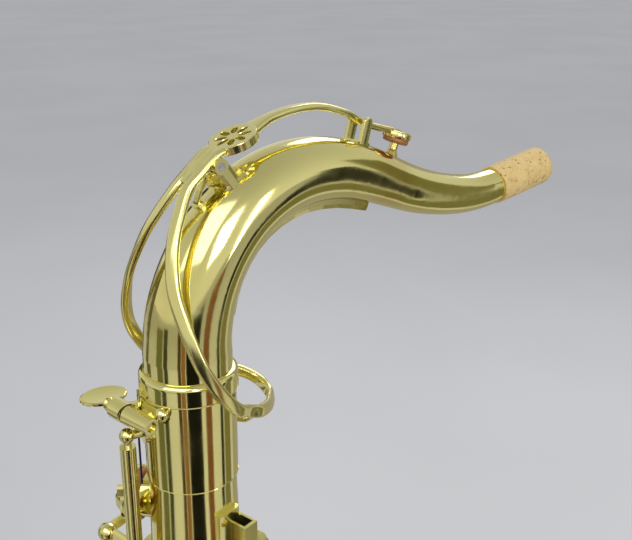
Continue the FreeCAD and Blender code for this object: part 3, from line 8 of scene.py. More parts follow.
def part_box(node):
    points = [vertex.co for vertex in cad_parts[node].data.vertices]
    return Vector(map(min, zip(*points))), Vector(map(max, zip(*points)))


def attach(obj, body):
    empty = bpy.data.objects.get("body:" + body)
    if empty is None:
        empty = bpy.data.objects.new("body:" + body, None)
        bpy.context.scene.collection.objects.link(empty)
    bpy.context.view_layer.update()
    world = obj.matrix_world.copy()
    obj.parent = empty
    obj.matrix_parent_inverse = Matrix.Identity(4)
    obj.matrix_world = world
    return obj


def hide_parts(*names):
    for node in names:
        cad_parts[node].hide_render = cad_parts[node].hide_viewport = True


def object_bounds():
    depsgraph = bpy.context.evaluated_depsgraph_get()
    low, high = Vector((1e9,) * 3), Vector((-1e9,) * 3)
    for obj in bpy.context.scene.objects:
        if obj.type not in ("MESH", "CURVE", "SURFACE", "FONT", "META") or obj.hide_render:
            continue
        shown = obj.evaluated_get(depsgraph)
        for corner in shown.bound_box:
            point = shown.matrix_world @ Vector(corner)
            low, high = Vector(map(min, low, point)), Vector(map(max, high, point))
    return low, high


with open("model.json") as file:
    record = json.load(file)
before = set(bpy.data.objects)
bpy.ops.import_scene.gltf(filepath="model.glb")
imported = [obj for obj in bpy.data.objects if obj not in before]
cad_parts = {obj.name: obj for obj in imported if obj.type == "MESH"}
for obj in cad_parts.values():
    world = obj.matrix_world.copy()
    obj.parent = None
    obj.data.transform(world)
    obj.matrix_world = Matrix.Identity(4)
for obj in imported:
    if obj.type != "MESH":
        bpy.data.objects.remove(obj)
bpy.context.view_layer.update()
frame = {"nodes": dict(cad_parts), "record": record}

# %% [markdown]
# A tenor saxophone, dressed for the camera
#
# The frame that was just loaded is the real instrument: each tube, key and screw with its true
# place and size, in metres. Blender adds what the hand and eye notice: the lacquer, the leather,
# the cork, the pearls and the soft edges of hand-finished brass.
# The part origin lies at the strap ring on the back of the body.

# %% Print the frame
for name in sorted(frame["nodes"]):
    low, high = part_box(name)
    size = [round((b - a) * 1000, 1) for a, b in zip(low, high)]
    print(name, "size in mm", size)

# %% [markdown]
# Finishes
#
# A lacquered instrument has three layers: brass, a thin clear coat, and years of use. A single
# metal colour looks like plastic foil, so each finish mixes a broad cloudy tone, a fine grain that
# bends the reflections, and small spots where the lacquer has aged. All patterns read the Object
# coordinates, which stay with the piece when the keys move.

# %% Node helpers
# Most values of a noise lie between these two
noise_low = 0.3
noise_high = 0.7


def new_material(name):
    material = bpy.data.materials.new(name)
    material.use_nodes = True
    tree = material.node_tree
    tree.nodes.clear()
    shader = tree.nodes.new("ShaderNodeBsdfPrincipled")
    output = tree.nodes.new("ShaderNodeOutputMaterial")
    tree.links.new(shader.outputs["BSDF"], output.inputs["Surface"])
    return material, tree, shader


def noise(tree, scale, detail, roughness=0.5, stretch=(1, 1, 1)):
    """A noise in object space. Stretch squeezes or pulls it along the axes."""
    place = tree.nodes.new("ShaderNodeTexCoord")
    mapping = tree.nodes.new("ShaderNodeMapping")
    mapping.inputs["Scale"].default_value = stretch
    texture = tree.nodes.new("ShaderNodeTexNoise")
    texture.inputs["Scale"].default_value = scale
    texture.inputs["Detail"].default_value = detail
    texture.inputs["Roughness"].default_value = roughness
    tree.links.new(place.outputs["Object"], mapping.inputs["Vector"])
    tree.links.new(mapping.outputs["Vector"], texture.inputs["Vector"])
    return texture


def ramp(tree, source, stops):
    """A colour ramp. Stops are (place, linear colour)."""
    node = tree.nodes.new("ShaderNodeValToRGB")
    element = node.color_ramp.elements
    while len(element) < len(stops):
        element.new(0.5)
    for item, (place, colour) in zip(element, stops):
        item.position = place
        item.color = (*colour, 1)
    tree.links.new(source, node.inputs["Fac"])
    return node


def span(tree, source, low, high):
    """A noise carried to the values between low and high."""
    node = tree.nodes.new("ShaderNodeMapRange")
    node.inputs["From Min"].default_value = noise_low
    node.inputs["From Max"].default_value = noise_high
    node.inputs["To Min"].default_value = low
    node.inputs["To Max"].default_value = high
    tree.links.new(source, node.inputs["Value"])
    return node


def coloured(tree, shader, source, stops):
    """The base colour follows the source through a ramp."""
    tree.links.new(ramp(tree, source, stops).outputs["Color"], shader.inputs["Base Color"])


def darkened(tree, shader, colour, marks, share):
    """The base colour is a colour ramp, multiplied by a ramp of dark marks."""
    mix = tree.nodes.new("ShaderNodeMix")
    mix.data_type = "RGBA"
    mix.blend_type = "MULTIPLY"
    mix.inputs["Factor"].default_value = share
    tree.links.new(colour.outputs["Color"], mix.inputs["A"])
    tree.links.new(marks.outputs["Color"], mix.inputs["B"])
    tree.links.new(mix.outputs["Result"], shader.inputs["Base Color"])


def roughened(tree, shader, source, low, high):
    tree.links.new(span(tree, source, low, high).outputs["Result"], shader.inputs["Roughness"])


def bump(tree, shader, height, strength, distance):
    """Small waves in the surface. The distance is in metres."""
    node = tree.nodes.new("ShaderNodeBump")
    node.inputs["Strength"].default_value = strength
    node.inputs["Distance"].default_value = distance
    tree.links.new(height, node.inputs["Height"])
    tree.links.new(node.outputs["Normal"], shader.inputs["Normal"])


# %% [markdown]
# Lacquered brass
#
# The brass of this instrument is pale and slightly green, with warmer, browner areas where the
# lacquer is thin. The tubes are drawn and buffed, so their waviness is very low and long; small
# keys are cast and polished by hand and have a somewhat livelier surface.

# %% Brass
brass_colours = {
    "thin": (0.66, 0.52, 0.17),
    "mid": (0.80, 0.715, 0.255),
    "thick": (0.86, 0.79, 0.33),
}


def lacquered_brass(name, rough_low, rough_high, wave, grain):
    """Wave is the strength of the bump, grain the share of its finest part."""
    material, tree, shader = new_material(name)
    cloud = noise(tree, scale=14, detail=4, roughness=0.55)
    colour = ramp(tree, cloud.outputs["Fac"], ((0.28, brass_colours["thin"]),
                                               (0.42, brass_colours["mid"]),
                                               (0.72, brass_colours["thick"])))
    speck = noise(tree, scale=420, detail=2, roughness=0.6)
    spots = ramp(tree, speck.outputs["Fac"], ((0.20, (0.62, 0.50, 0.30)), (0.27, (1, 1, 1))))
    darkened(tree, shader, colour, spots, share=0.35)
    smear = noise(tree, scale=60, detail=6, roughness=0.62)
    roughened(tree, shader, smear.outputs["Fac"], rough_low, rough_high)
    long_wave = noise(tree, scale=32, detail=2)
    fine = noise(tree, scale=700, detail=3)
    mixed = tree.nodes.new("ShaderNodeMath")
    mixed.operation = "MULTIPLY_ADD"
    mixed.inputs[1].default_value = grain
    tree.links.new(fine.outputs["Fac"], mixed.inputs[0])
    tree.links.new(long_wave.outputs["Fac"], mixed.inputs[2])
    bump(tree, shader, mixed.outputs["Value"], wave, distance=0.0006)
    shader.inputs["Metallic"].default_value = 1
    shader.inputs["Coat Weight"].default_value = 0.12
    shader.inputs["Coat Roughness"].default_value = 0.05
    shader.inputs["Coat IOR"].default_value = 1.5
    return material


tube_brass = lacquered_brass("tube_lacquer", 0.07, 0.16, wave=0.24, grain=0.01)
key_brass = lacquered_brass("key_lacquer", 0.13, 0.24, wave=0.32, grain=0.03)
fitting_brass = lacquered_brass("fitting_lacquer", 0.12, 0.24, wave=0.40, grain=0.06)
print("brass finishes", [finish.name for finish in (tube_brass, key_brass, fitting_brass)])

# %% [markdown]
# Steel, cork, leather, pearl
#
# The rods and pivot screws are turned steel, and the needle springs are tempered blue. The cork
# on the neck is pressed sheet: pale, with dark pores and lenses. The pads are felt discs in
# oiled kid leather, and the finger pearls are slices of shell with a soft play of colour.

# %% Steel
steel, tree, shader = new_material("turned_steel")
ring_marks = noise(tree, scale=900, detail=2, stretch=(1, 1, 6)).outputs["Fac"]
coloured(tree, shader, ring_marks, ((0.3, (0.42, 0.41, 0.39)), (0.7, (0.68, 0.67, 0.64))))
roughened(tree, shader, ring_marks, 0.22, 0.40)
bump(tree, shader, ring_marks, strength=0.25, distance=0.0002)
shader.inputs["Metallic"].default_value = 1

spring_blue, tree, shader = new_material("blued_spring")
temper = noise(tree, scale=90, detail=3).outputs["Fac"]
coloured(tree, shader, temper, ((0.3, (0.03, 0.05, 0.16)), (0.6, (0.07, 0.10, 0.26)),
                                (0.8, (0.20, 0.14, 0.10))))
roughened(tree, shader, temper, 0.2, 0.38)
bump(tree, shader, temper, strength=0.1, distance=0.0002)
shader.inputs["Metallic"].default_value = 1

# %% Cork
cork, tree, shader = new_material("neck_cork_sheet")
body_tone = noise(tree, scale=300, detail=6, roughness=0.65).outputs["Fac"]
pores = noise(tree, scale=620, detail=3, roughness=0.6).outputs["Fac"]
tone = ramp(tree, body_tone, ((0.25, (0.38, 0.23, 0.08)), (0.42, (0.60, 0.42, 0.16)),
                              (0.75, (0.70, 0.53, 0.23))))
dark = ramp(tree, pores, ((0.33, (0.22, 0.13, 0.07)), (0.39, (1, 1, 1))))
darkened(tree, shader, tone, dark, share=0.85)
roughened(tree, shader, body_tone, 0.55, 0.85)
bump(tree, shader, pores, strength=0.5, distance=0.0004)

# %% Leather
leather, tree, shader = new_material("pad_kid_leather")
hide = noise(tree, scale=120, detail=5, roughness=0.6).outputs["Fac"]
coloured(tree, shader, hide, ((0.25, (0.17, 0.05, 0.015)), (0.5, (0.37, 0.13, 0.035)),
                              (0.75, (0.48, 0.20, 0.065))))
creases = tree.nodes.new("ShaderNodeTexVoronoi")
creases.inputs["Scale"].default_value = 1500
place = tree.nodes.new("ShaderNodeTexCoord")
tree.links.new(place.outputs["Object"], creases.inputs["Vector"])
roughened(tree, shader, hide, 0.42, 0.62)
bump(tree, shader, creases.outputs["Distance"], strength=0.35, distance=0.0002)

# %% Pearl
pearl, tree, shader = new_material("shell_pearl")
layers = noise(tree, scale=160, detail=4, roughness=0.6, stretch=(1, 1, 2.5)).outputs["Fac"]
coloured(tree, shader, layers, ((0.2, (0.62, 0.66, 0.64)), (0.4, (0.82, 0.78, 0.74)),
                                (0.6, (0.70, 0.80, 0.76)), (0.8, (0.86, 0.76, 0.78))))
roughened(tree, shader, layers, 0.12, 0.25)
bump(tree, shader, layers, strength=0.08, distance=0.0003)
shader.inputs["Coat Weight"].default_value = 0.6
shader.inputs["Coat Roughness"].default_value = 0.04
print("other finishes", [finish.name for finish in (steel, spring_blue, cork, leather, pearl)])

# %% [markdown]
# Who wears what
#
# Most of the instrument is brass in one lacquer. Rods and the pivot screw are steel, springs are
# blue, and the cork has its own sheet. The CAD meshes keep their shapes and only get a finish.

# %% Dress the frame
finish_of = {
    "hinge_rods": steel, "neck_key_pivot": steel, "key_springs": spring_blue,
    "neck_cork": cork, "neck_octave_pad": leather, "high_f_sharp_pad": leather,
    "body_tube": tube_brass, "bell": tube_brass, "bow_tube": tube_brass, "neck_tube": tube_brass,
    "neck_receiver": tube_brass, "neck_tenon": tube_brass, "joint_rings": tube_brass,
    "key_posts": fitting_brass, "neck_key_saddle": fitting_brass, "neck_key_guide": fitting_brass,
    "neck_octave_pip": fitting_brass, "lyre_screw": fitting_brass,
}
for name, node in frame["nodes"].items():
    wear = finish_of.get(name, key_brass)
    if not node.material_slots:
        node.data.materials.append(wear)
    for place in node.material_slots:
        place.material = wear
print("nodes dressed", len(frame["nodes"]))

# %% [markdown]
# Places shared with the frame
#
# The neck was laid out from the joint line between the neck and its receiver, with its sizes in
# millimetres. One small function carries such a place into the frame's metres, so every added
# piece lands on the metal that carries it.

# %% Places and meshes
mm = 0.001
joint_line = Vector((-0.0304305, 0, 0.265))
up = Vector((0, 0, 1))
across = Vector((0, 1, 0))


def at(x, y, z):
    """A place in the frame, from its millimetres beside and above the joint line."""
    return joint_line + Vector((x, y, z)) / 1000


def around(azimuth, reach):
    """A level way out from an upright axis. The azimuth is in degrees."""
    turn = math.radians(azimuth)
    return Vector((reach * math.cos(turn), reach * math.sin(turn), 0))


def in_metres(profile):
    return [(radius / 1000, height / 1000) for radius, height in profile]


def placed(name, data):
    """A new object in the scene."""
    thing = bpy.data.objects.new(name, data)
    bpy.context.scene.collection.objects.link(thing)
    return thing


def finished(name, vertices, faces, materials, body, sharp=32):
    """A mesh object at the origin that rides on a body, smooth apart from its sharp edges."""
    mesh = bpy.data.meshes.new(name)
    mesh.from_pydata(vertices, [], faces)
    for material in materials:
        mesh.materials.append(material)
    mesh.polygons.foreach_set("use_smooth", [True] * len(mesh.polygons))
    mesh.set_sharp_from_angle(angle=math.radians(sharp))
    mesh.validate()
    thing = placed(name, mesh)
    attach(thing, body)
    return thing


def turned(profile, origin, axis, count=64, squeeze=(1, 1), along=None):
    """Vertices and faces of a turned shape. The profile holds (radius, height) in metres, from
    one pole to the other, and its radius is zero at both ends. Squeeze makes the round an oval,
    with its first width along the given way."""
    axis = axis.normalized()
    side = (along if along else axis.orthogonal()).normalized()
    other = axis.cross(side)
    vertices = [origin + axis * profile[0][1]]
    for radius, height in profile[1:-1]:
        for step in range(count):
            turn = 2 * math.pi * step / count
            vertices.append(origin + axis * height
                            + side * (radius * squeeze[0] * math.cos(turn))
                            + other * (radius * squeeze[1] * math.sin(turn)))
    vertices.append(origin + axis * profile[-1][1])
    faces = []
    last = len(vertices) - 1
    rings = len(profile) - 2
    for step in range(count):
        after = (step + 1) % count
        faces.append((0, 1 + after, 1 + step))
        for ring in range(rings - 1):
            low = 1 + ring * count
            high = low + count
            faces.append((low + step, low + after, high + after, high + step))
        top = 1 + (rings - 1) * count
        faces.append((top + step, top + after, last))
    return vertices, faces


def joined(*shapes):
    """Several closed shells as one list of vertices and faces."""
    vertices, faces = [], []
    for shell_vertices, shell_faces in shapes:
        first = len(vertices)
        vertices += shell_vertices
        faces += [tuple(first + index for index in face) for face in shell_faces]
    return vertices, faces


# %% [markdown]
# Strips that bend
#
# The strap and the ring of the neck's octave key are flat strips with softened edges, bent by
# hand. Each is swept here: a rounded rectangle travels along a smooth line through a few places
# and turns with the direction in which the strip faces.

# %% Swept strips


def between(values, place):
    """A value at a place along a list, on the smooth cubic curve through its four neighbours."""
    index = min(int(place), len(values) - 2)
    share = place - index
    before = values[max(index - 1, 0)]
    start = values[index]
    end = values[index + 1]
    after = values[min(index + 2, len(values) - 1)]
    return (start + (end - before) * (0.5 * share)
            + (before * 2 - start * 5 + end * 4 - after) * (0.5 * share ** 2)
            + (start * 3 - end * 3 + after - before) * (0.5 * share ** 3))


def strip(points, faces_way, widths, thickness, soft=0.32, fine=6):
    """A strip with rounded edges. Widths and thickness are in metres. Soft is the rounding as a
    share of the thickness, fine the number of steps between two points."""
    corner_steps = 3
    glance = 0.05
    corners = []
    for quarter in range(4):
        for step in range(corner_steps + 1):
            turn = math.radians(90 * (quarter + step / corner_steps))
            cx = 1 if quarter in (0, 3) else -1
            cy = 1 if quarter in (0, 1) else -1
            corners.append((cx, cy, math.cos(turn), math.sin(turn)))
    count = (len(points) - 1) * fine + 1
    rings = []
    for number in range(count):
        place = number / fine
        centre = between(points, place)
        ahead = between(points, min(place + glance, len(points) - 1))
        behind = between(points, max(place - glance, 0))
        way = (ahead - behind).normalized()
        face = between(faces_way, place)
        face = (face - way * face.dot(way)).normalized()
        side = way.cross(face)
        width = between(widths, place)
        rounding = thickness * soft
        rings.append([centre + side * (cx * (width / 2 - rounding) + dx * rounding)
                      + face * (cy * (thickness / 2 - rounding) + dy * rounding)
                      for cx, cy, dx, dy in corners])
    size = len(corners)
    vertices = [corner for ring in rings for corner in ring]
    faces = []
    for ring in range(count - 1):
        for step in range(size):
            after = (step + 1) % size
            low = ring * size
            faces.append((low + step, low + size + step, low + size + after, low + after))
    faces.append(tuple(range(size)))
    faces.append(tuple(reversed([(count - 1) * size + step for step in range(size)])))
    return vertices, faces


# %% [markdown]
# The pierced disc
#
# The strap widens into a disc with an open rosette. A rosette is one petal repeated around a
# centre, which is work for Geometry Nodes: the petals are instances on a circle, the outline and
# the petals are filled as one flat face with holes, and the face is drawn out to a plate.

# %% Tree helpers


def new_tree(name, sizes):
    """An empty tree with its named inputs, each (label, kind)."""
    tree = bpy.data.node_groups.new(name, "GeometryNodeTree")
    for label, kind in sizes:
        tree.interface.new_socket(label, in_out="INPUT", socket_type=kind)
    tree.interface.new_socket("Geometry", in_out="OUTPUT", socket_type="NodeSocketGeometry")
    return tree


def end_tree(tree, geometry, finish):
    """The end of each tree: instances become real geometry and get their material."""
    last = tree.nodes.new("GeometryNodeRealizeInstances")
    tree.links.new(geometry, last.inputs["Geometry"])
    paint = tree.nodes.new("GeometryNodeSetMaterial")
    paint.inputs["Material"].default_value = finish
    tree.links.new(last.outputs["Geometry"], paint.inputs["Geometry"])
    result = tree.nodes.new("NodeGroupOutput")
    tree.links.new(paint.outputs["Geometry"], result.inputs["Geometry"])


def grown(tree, sizes):
    """The tree's result as a plain mesh, with its named sizes set."""
    seed = placed("grown", bpy.data.meshes.new("grown"))
    modifier = seed.modifiers.new("tree", "NODES")
    modifier.node_group = tree
    for socket in tree.interface.items_tree:
        if socket.in_out == "INPUT" and socket.name in sizes:
            modifier[socket.identifier] = sizes[socket.name]
    graph = bpy.context.evaluated_depsgraph_get()
    mesh = bpy.data.meshes.new_from_object(seed.evaluated_get(graph))
    seed.modifiers.remove(modifier)
    bpy.data.objects.remove(seed)
    return mesh


# %% Rosette tree


def rosette_tree(finish):
    tree = new_tree("pierced_rosette", (
        ("Disc radius", "NodeSocketFloat"), ("Thickness", "NodeSocketFloat"),
        ("Petal count", "NodeSocketInt"), ("Petal place", "NodeSocketFloat"),
        ("Petal length", "NodeSocketFloat"), ("Petal width", "NodeSocketFloat")))
    nodes = tree.nodes
    link = tree.links.new
    given = nodes.new("NodeGroupInput")
    rim = nodes.new("GeometryNodeCurvePrimitiveCircle")
    rim.inputs["Resolution"].default_value = 96
    link(given.outputs["Disc radius"], rim.inputs["Radius"])
    ring = nodes.new("GeometryNodeMeshCircle")
    link(given.outputs["Petal count"], ring.inputs["Vertices"])
    link(given.outputs["Petal place"], ring.inputs["Radius"])
    petal = nodes.new("GeometryNodeCurvePrimitiveCircle")
    petal.inputs["Resolution"].default_value = 20
    petal.inputs["Radius"].default_value = 1
    size = nodes.new("ShaderNodeCombineXYZ")
    link(given.outputs["Petal length"], size.inputs["X"])
    link(given.outputs["Petal width"], size.inputs["Y"])
    size.inputs["Z"].default_value = 1
    spot = nodes.new("GeometryNodeInputPosition")
    aim = nodes.new("FunctionNodeAlignRotationToVector")
    aim.axis = "X"
    link(spot.outputs["Position"], aim.inputs["Vector"])
    scatter = nodes.new("GeometryNodeInstanceOnPoints")
    link(ring.outputs["Mesh"], scatter.inputs["Points"])
    link(petal.outputs["Curve"], scatter.inputs["Instance"])
    link(aim.outputs["Rotation"], scatter.inputs["Rotation"])
    link(size.outputs["Vector"], scatter.inputs["Scale"])
    real = nodes.new("GeometryNodeRealizeInstances")
    link(scatter.outputs["Instances"], real.inputs["Geometry"])
    outlines = nodes.new("GeometryNodeJoinGeometry")
    link(real.outputs["Geometry"], outlines.inputs["Geometry"])
    link(rim.outputs["Curve"], outlines.inputs["Geometry"])
    fill = nodes.new("GeometryNodeFillCurve")
    link(outlines.outputs["Geometry"], fill.inputs["Curve"])
    pull = nodes.new("GeometryNodeExtrudeMesh")
    pull.inputs["Individual"].default_value = False
    link(fill.outputs["Mesh"], pull.inputs["Mesh"])
    link(given.outputs["Thickness"], pull.inputs["Offset Scale"])
    back = nodes.new("GeometryNodeFlipFaces")
    link(fill.outputs["Mesh"], back.inputs["Mesh"])
    plate = nodes.new("GeometryNodeJoinGeometry")
    link(back.outputs["Mesh"], plate.inputs["Geometry"])
    link(pull.outputs["Mesh"], plate.inputs["Geometry"])
    weld = nodes.new("GeometryNodeMergeByDistance")
    weld.inputs["Distance"].default_value = 1e-6
    link(plate.outputs["Geometry"], weld.inputs["Geometry"])
    end_tree(tree, weld.outputs["Geometry"], finish)
    return tree


disc_thickness = 0.0028
disc_mesh = grown(rosette_tree(key_brass),
                  {"Disc radius": 0.0078, "Thickness": disc_thickness, "Petal count": 8,
                   "Petal place": 0.0040, "Petal length": 0.0021, "Petal width": 0.00105})
print("rosette faces", len(disc_mesh.polygons))

# %% [markdown]
# The neck's octave key
#
# One long spring-held lever: a leather pad over a tiny vent at one end, a strap through its
# guide, the pierced disc over the pivot, and a fork that opens into a ring around the receiver,
# where the octave pin reaches it. Its flowing edges are what the eye follows in the picture, so
# it is swept anew over the simpler bars of the frame.

# %% Strap and web
# Places are (x, z) in mm from the joint line, and the strap lies in the middle plane
strap_thickness = 0.0024
strap_places = ((87.8, 71.9), (81.5, 73.6), (73.8, 76.2), (65.7, 80.4), (54.5, 83.8), (43.9, 84.2),
                (33.8, 82.6), (26.3, 79.8))
web_places = ((13.6, 74.9), (11.0, 73.8), (5.8, 69.8), (1.4, 66.2))
strap_widths = [w / 1000 for w in (3.4, 3.1, 3.1, 4.4, 4.4, 4.4, 4.7, 7.2)]
web_widths = [w / 1000 for w in (8.2, 8.2, 7.8, 6.2)]
strap_ways = [Vector((lean, 0, 1)) for lean in (0.3, 0.25, 0.4, 0.4, 0.2, -0.1, -0.25, -0.37)]
web_ways = [Vector((-0.39, 0, 1)), Vector((-0.6, 0, 1)), Vector((-0.82, 0, 0.9)),
            Vector((-0.9, 0, 0.7))]

# %% Fork and ring
# Places are (x, y, z) in mm, for one arm. The near arm has its y turned round
plate_places = ((13.6, 2.6, 74.9), (11.0, 2.6, 73.9), (5.8, 2.75, 69.8))
fork_places = ((0.6, 3.0, 65.4), (-4.5, 5.5, 57.9), (-7.8, 7.6, 51.9), (-9.9, 9.8, 45.9),
               (-11.4, 12.8, 38.4), (-11.2, 16.4, 30.6), (-10.1, 19.6, 22.8),
               (-7.8, 21.8, 15.2), (-3.0, 23.1, 6.7), (3.4, 22.4, -0.9))
near_places = ((9.1, 19.9, -4.5), (14.5, 18.7, -7.0), (21.0, 14.1, -9.7), (27.4, 7.2, -12.6))
tip_place = (32.8, 0.2, -14.7)
far_places = ((12.8, 21.5, -5.0), (21.4, 17.8, -7.2), (28.7, 12.1, -9.4), (32.9, 6.6, -12.3))
fork_width = 0.0042
fork_thickness = 0.0026
web_thickness = fork_thickness + 0.00006
turning_places = 6
near_arm = [Vector((x, -y, z)) for x, y, z in plate_places + fork_places + near_places]
far_arm = [Vector((x, y, z)) for x, y, z in plate_places + fork_places + far_places]
ring_line = near_arm + [Vector(tip_place)] + far_arm[::-1]
ring_ways = []
for number, point in enumerate(ring_line):
    from_end = min(number, len(ring_line) - 1 - number)
    if from_end < len(plate_places):
        ring_ways.append(web_ways[from_end])
    else:
        radial = Vector((point.x, point.y, 0)).normalized()
        turned_share = min(1, (from_end - len(plate_places) + 1) / turning_places)
        ring_ways.append(web_ways[-1].lerp(radial, turned_share))
shapes = [strip([at(x, 0, z) for x, z in strap_places], strap_ways, strap_widths,
                strap_thickness, soft=0.4, fine=8),
          strip([at(x, 0, z) for x, z in web_places], web_ways, web_widths, web_thickness),
          strip([at(*point) for point in ring_line], ring_ways, [fork_width] * len(ring_line),
                fork_thickness, soft=0.4, fine=8)]
print("places along the ring", len(ring_line))

# %% Cup and pivot tube
neck_pivot = at(11.0, 0, 71.2)
pad_low, pad_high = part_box("neck_octave_pad")
pad_middle = (Vector(pad_low) + Vector(pad_high)) / 2
pad_lean = math.radians(-17.0)
pad_way = Vector((-math.sin(pad_lean), 0, math.cos(pad_lean)))
print("octave pad middle in mm", [round(c * 1000, 2) for c in pad_middle])
cup_drop = 0.00035
cup = in_metres(((0, 0.75), (4.6, 0.75), (5.05, 0.8), (5.2, 1.1), (5.2, 2.6), (4.9, 3.1),
                 (4.2, 3.35), (1.6, 3.45), (1.2, 3.95), (0.6, 4.1), (0, 4.1)))
shapes.append(turned(cup, pad_middle - pad_way * cup_drop, pad_way))
tube = in_metres(((0, -3.6), (2.2, -3.6), (2.6, -3.3), (2.6, 3.3), (2.2, 3.6), (0, 3.6)))
shapes.append(turned(tube, neck_pivot, across))
stem_line = [neck_pivot - up * 0.0005, at(11.0, 0, 73.6)]
stem_way = Vector((1, 0, 0))
stem_width = 0.0064
stem_thickness = 0.0040
shapes.append(strip(stem_line, [stem_way] * 2, [stem_width] * 2, stem_thickness))

# %% Assembly of the key
octave_key = finished("neck_octave_key_brass", *joined(*shapes), [key_brass],
                      "neck_octave_key_body")
disc_way = Vector((-0.36, 0, 0.93)).normalized()
disc_turn = disc_way.to_track_quat("Z", "Y").to_matrix().to_4x4()
disc_foot = at(19.8, 0, 77.3) - disc_way * (disc_thickness / 2)
disc_mesh.transform(Matrix.Translation(disc_foot) @ disc_turn)
disc = placed("neck_octave_key_disc", disc_mesh)
bevel = disc.modifiers.new("soft_edges", "BEVEL")
bevel.width = 0.00022
bevel.segments = 2
bevel.limit_method = "ANGLE"
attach(disc, "neck_octave_key_body")
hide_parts("neck_octave_key")
print("octave key faces", len(octave_key.data.polygons))

# %% [markdown]
# Pads and pearls
#
# Every cup holds a felt pad in leather, the larger ones with a small domed resonator, and the keys
# under the fingers carry pearls. In the frame they are plain discs inside each key, so their
# places
# are measured there: each is found by its two flat round faces, back to back and a little apart,
# and its height tells a pad from a pearl.

# %% Find the discs in a key
# Sizes are in metres. The level of a plane is rounded to one of 20000 steps in a metre
plane_steps = 20000
smallest_disc = 0.0035
round_enough = 0.03
same_spot = 0.0002
same_way = 0.02
least_height = 0.0015
most_height = 0.0045


def spot_of(mesh, index):
    return tuple(round(c * 1e6) for c in mesh.vertices[index].co)


def round_faces(node):
    """The flat round faces of a CAD node: (middle, outward normal, radius)."""
    mesh = node.data
    planes = {}
    for face in mesh.polygons:
        first = mesh.vertices[face.vertices[0]].co
        level = round(face.normal.dot(first) * plane_steps)
        planes.setdefault((*(round(c, 2) for c in face.normal), level), []).append(face)
    found = []
    for faces in planes.values():
        at_spot = {}
        for face in faces:
            for index in face.vertices:
                at_spot.setdefault(spot_of(mesh, index), []).append(face)
        left = {face.index: face for face in faces}
        groups = []
        while left:
            group = [left.popitem()[1]]
            for here in group:
                for index in here.vertices:
                    for other in at_spot.pop(spot_of(mesh, index), ()):
                        if left.pop(other.index, None):
                            group.append(other)
            groups.append(group)
        for group in groups:
            area = sum(face.area for face in group)
            middle = sum((face.center * face.area for face in group), Vector()) / area
            radius = max((mesh.vertices[index].co - middle).length
                         for face in group for index in face.vertices)
            if radius > smallest_disc and abs(area / (math.pi * radius ** 2) - 1) < round_enough:
                found.append((middle, group[0].normal.copy(), radius))
    return found


def discs_in(node):
    """Pads and pearls of a node: (middle, way out of the metal, radius, height)."""
    faces = round_faces(node)
    found = []
    for number, (middle, normal, radius) in enumerate(faces):
        for other_middle, other_normal, other_radius in faces[:number]:
            height = (middle - other_middle).dot(normal)
            beside = (middle - other_middle - normal * height).length
            if ((normal + other_normal).length > same_way or beside > same_spot
                    or abs(radius - other_radius) > same_spot
                    or not least_height < height < most_height):
                continue
            covered = any((third[0] - middle).length < same_spot
                          and (third[1] + normal).length < same_way for third in faces)
            way = other_normal if covered else normal
            found.append(((middle + other_middle) / 2, way, radius, height))
    return found


# %% Shapes of a pad, a resonator and a pearl


def leather_pad(middle, way, radius, height, shown):
    """Way points out of the cup, towards the tone hole. Shown is the leather's own height."""
    rim = radius + 0.06 * mm
    half = height / 2
    profile = [(0, half - shown), (radius * 0.9, half - shown),
               (rim, half - shown + 0.1 * mm), (rim, half - 0.35 * mm),
               (rim - 0.2 * mm, half - 0.05 * mm), (radius - 0.7 * mm, half + 0.10 * mm),
               (radius * 0.5, half + 0.14 * mm), (0, half + 0.15 * mm)]
    return turned(profile, middle, way, count=72)


def resonator(middle, way, radius, height):
    """A small metal dome in the middle of a pad."""
    wide = radius * 0.42
    half = height / 2
    profile = [(0, half), (wide, half), (wide, half + 0.25 * mm), (wide * 0.9, half + 0.45 * mm),
               (wide * 0.5, half + 0.75 * mm), (wide * 0.2, half + 0.85 * mm),
               (0, half + 0.86 * mm)]
    return turned(profile, middle, way, count=48)


def pearl_dome(middle, way, radius, height):
    """A pearl with the shallow hollow that fingers wear."""
    half = height / 2
    rim = radius + 0.03 * mm
    profile = [(0, half - 0.8 * mm), (rim, half - 0.8 * mm), (rim, half - 0.1 * mm),
               (rim - 0.3 * mm, half + 0.12 * mm), (radius * 0.75, half + 0.28 * mm),
               (radius * 0.4, half + 0.20 * mm), (0, half + 0.16 * mm)]
    return turned(profile, middle, way, count=56)


# %% Make pads, resonators and pearls
# Two pads are nodes of their own. Each has a way that points out of the tone hole, into its cup
loose_pads = {"neck_octave_pad": pad_way, "high_f_sharp_pad": around(130, 1)}
most_pearl_height = 0.0020
leather_in_cup = 0.0013
resonator_from = 0.0062
body_of_node = {node: body for body, nodes in frame["record"]["behaviour"]["bodies"].items()
                for node in nodes}
pads_made = 0
pearls_made = 0
for name, node in sorted(frame["nodes"].items()):
    if name == "neck_octave_key" or not (name.endswith("_key") or name in loose_pads):
        continue
    alone = name in loose_pads
    for middle, way, radius, height in discs_in(node):
        if alone and way.dot(loose_pads[name]) > 0:
            way = -way
        if height < most_pearl_height and not alone:
            finished(name + "_pearl", *pearl_dome(middle, way, radius, height), [pearl],
                     body_of_node[name])
            pearls_made += 1
            continue
        shown = height - 0.02 * mm if alone else leather_in_cup
        leather_piece = finished(name + "_leather",
                                 *leather_pad(middle, way, radius, height, shown),
                                 [leather], body_of_node[name])
        if radius > resonator_from:
            finished(name + "_resonator", *resonator(middle, way, radius, height), [key_brass],
                     body_of_node[name])
        if alone:
            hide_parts(name)
        pads_made += 1
print("pads made", pads_made, "pearls made", pearls_made)

# %% [markdown]
# The guide
#
# The strap runs between two small posts on the neck. In the frame they are square, on the real
# neck their tops are filed round. Their place and lean are read from the frame's own posts.

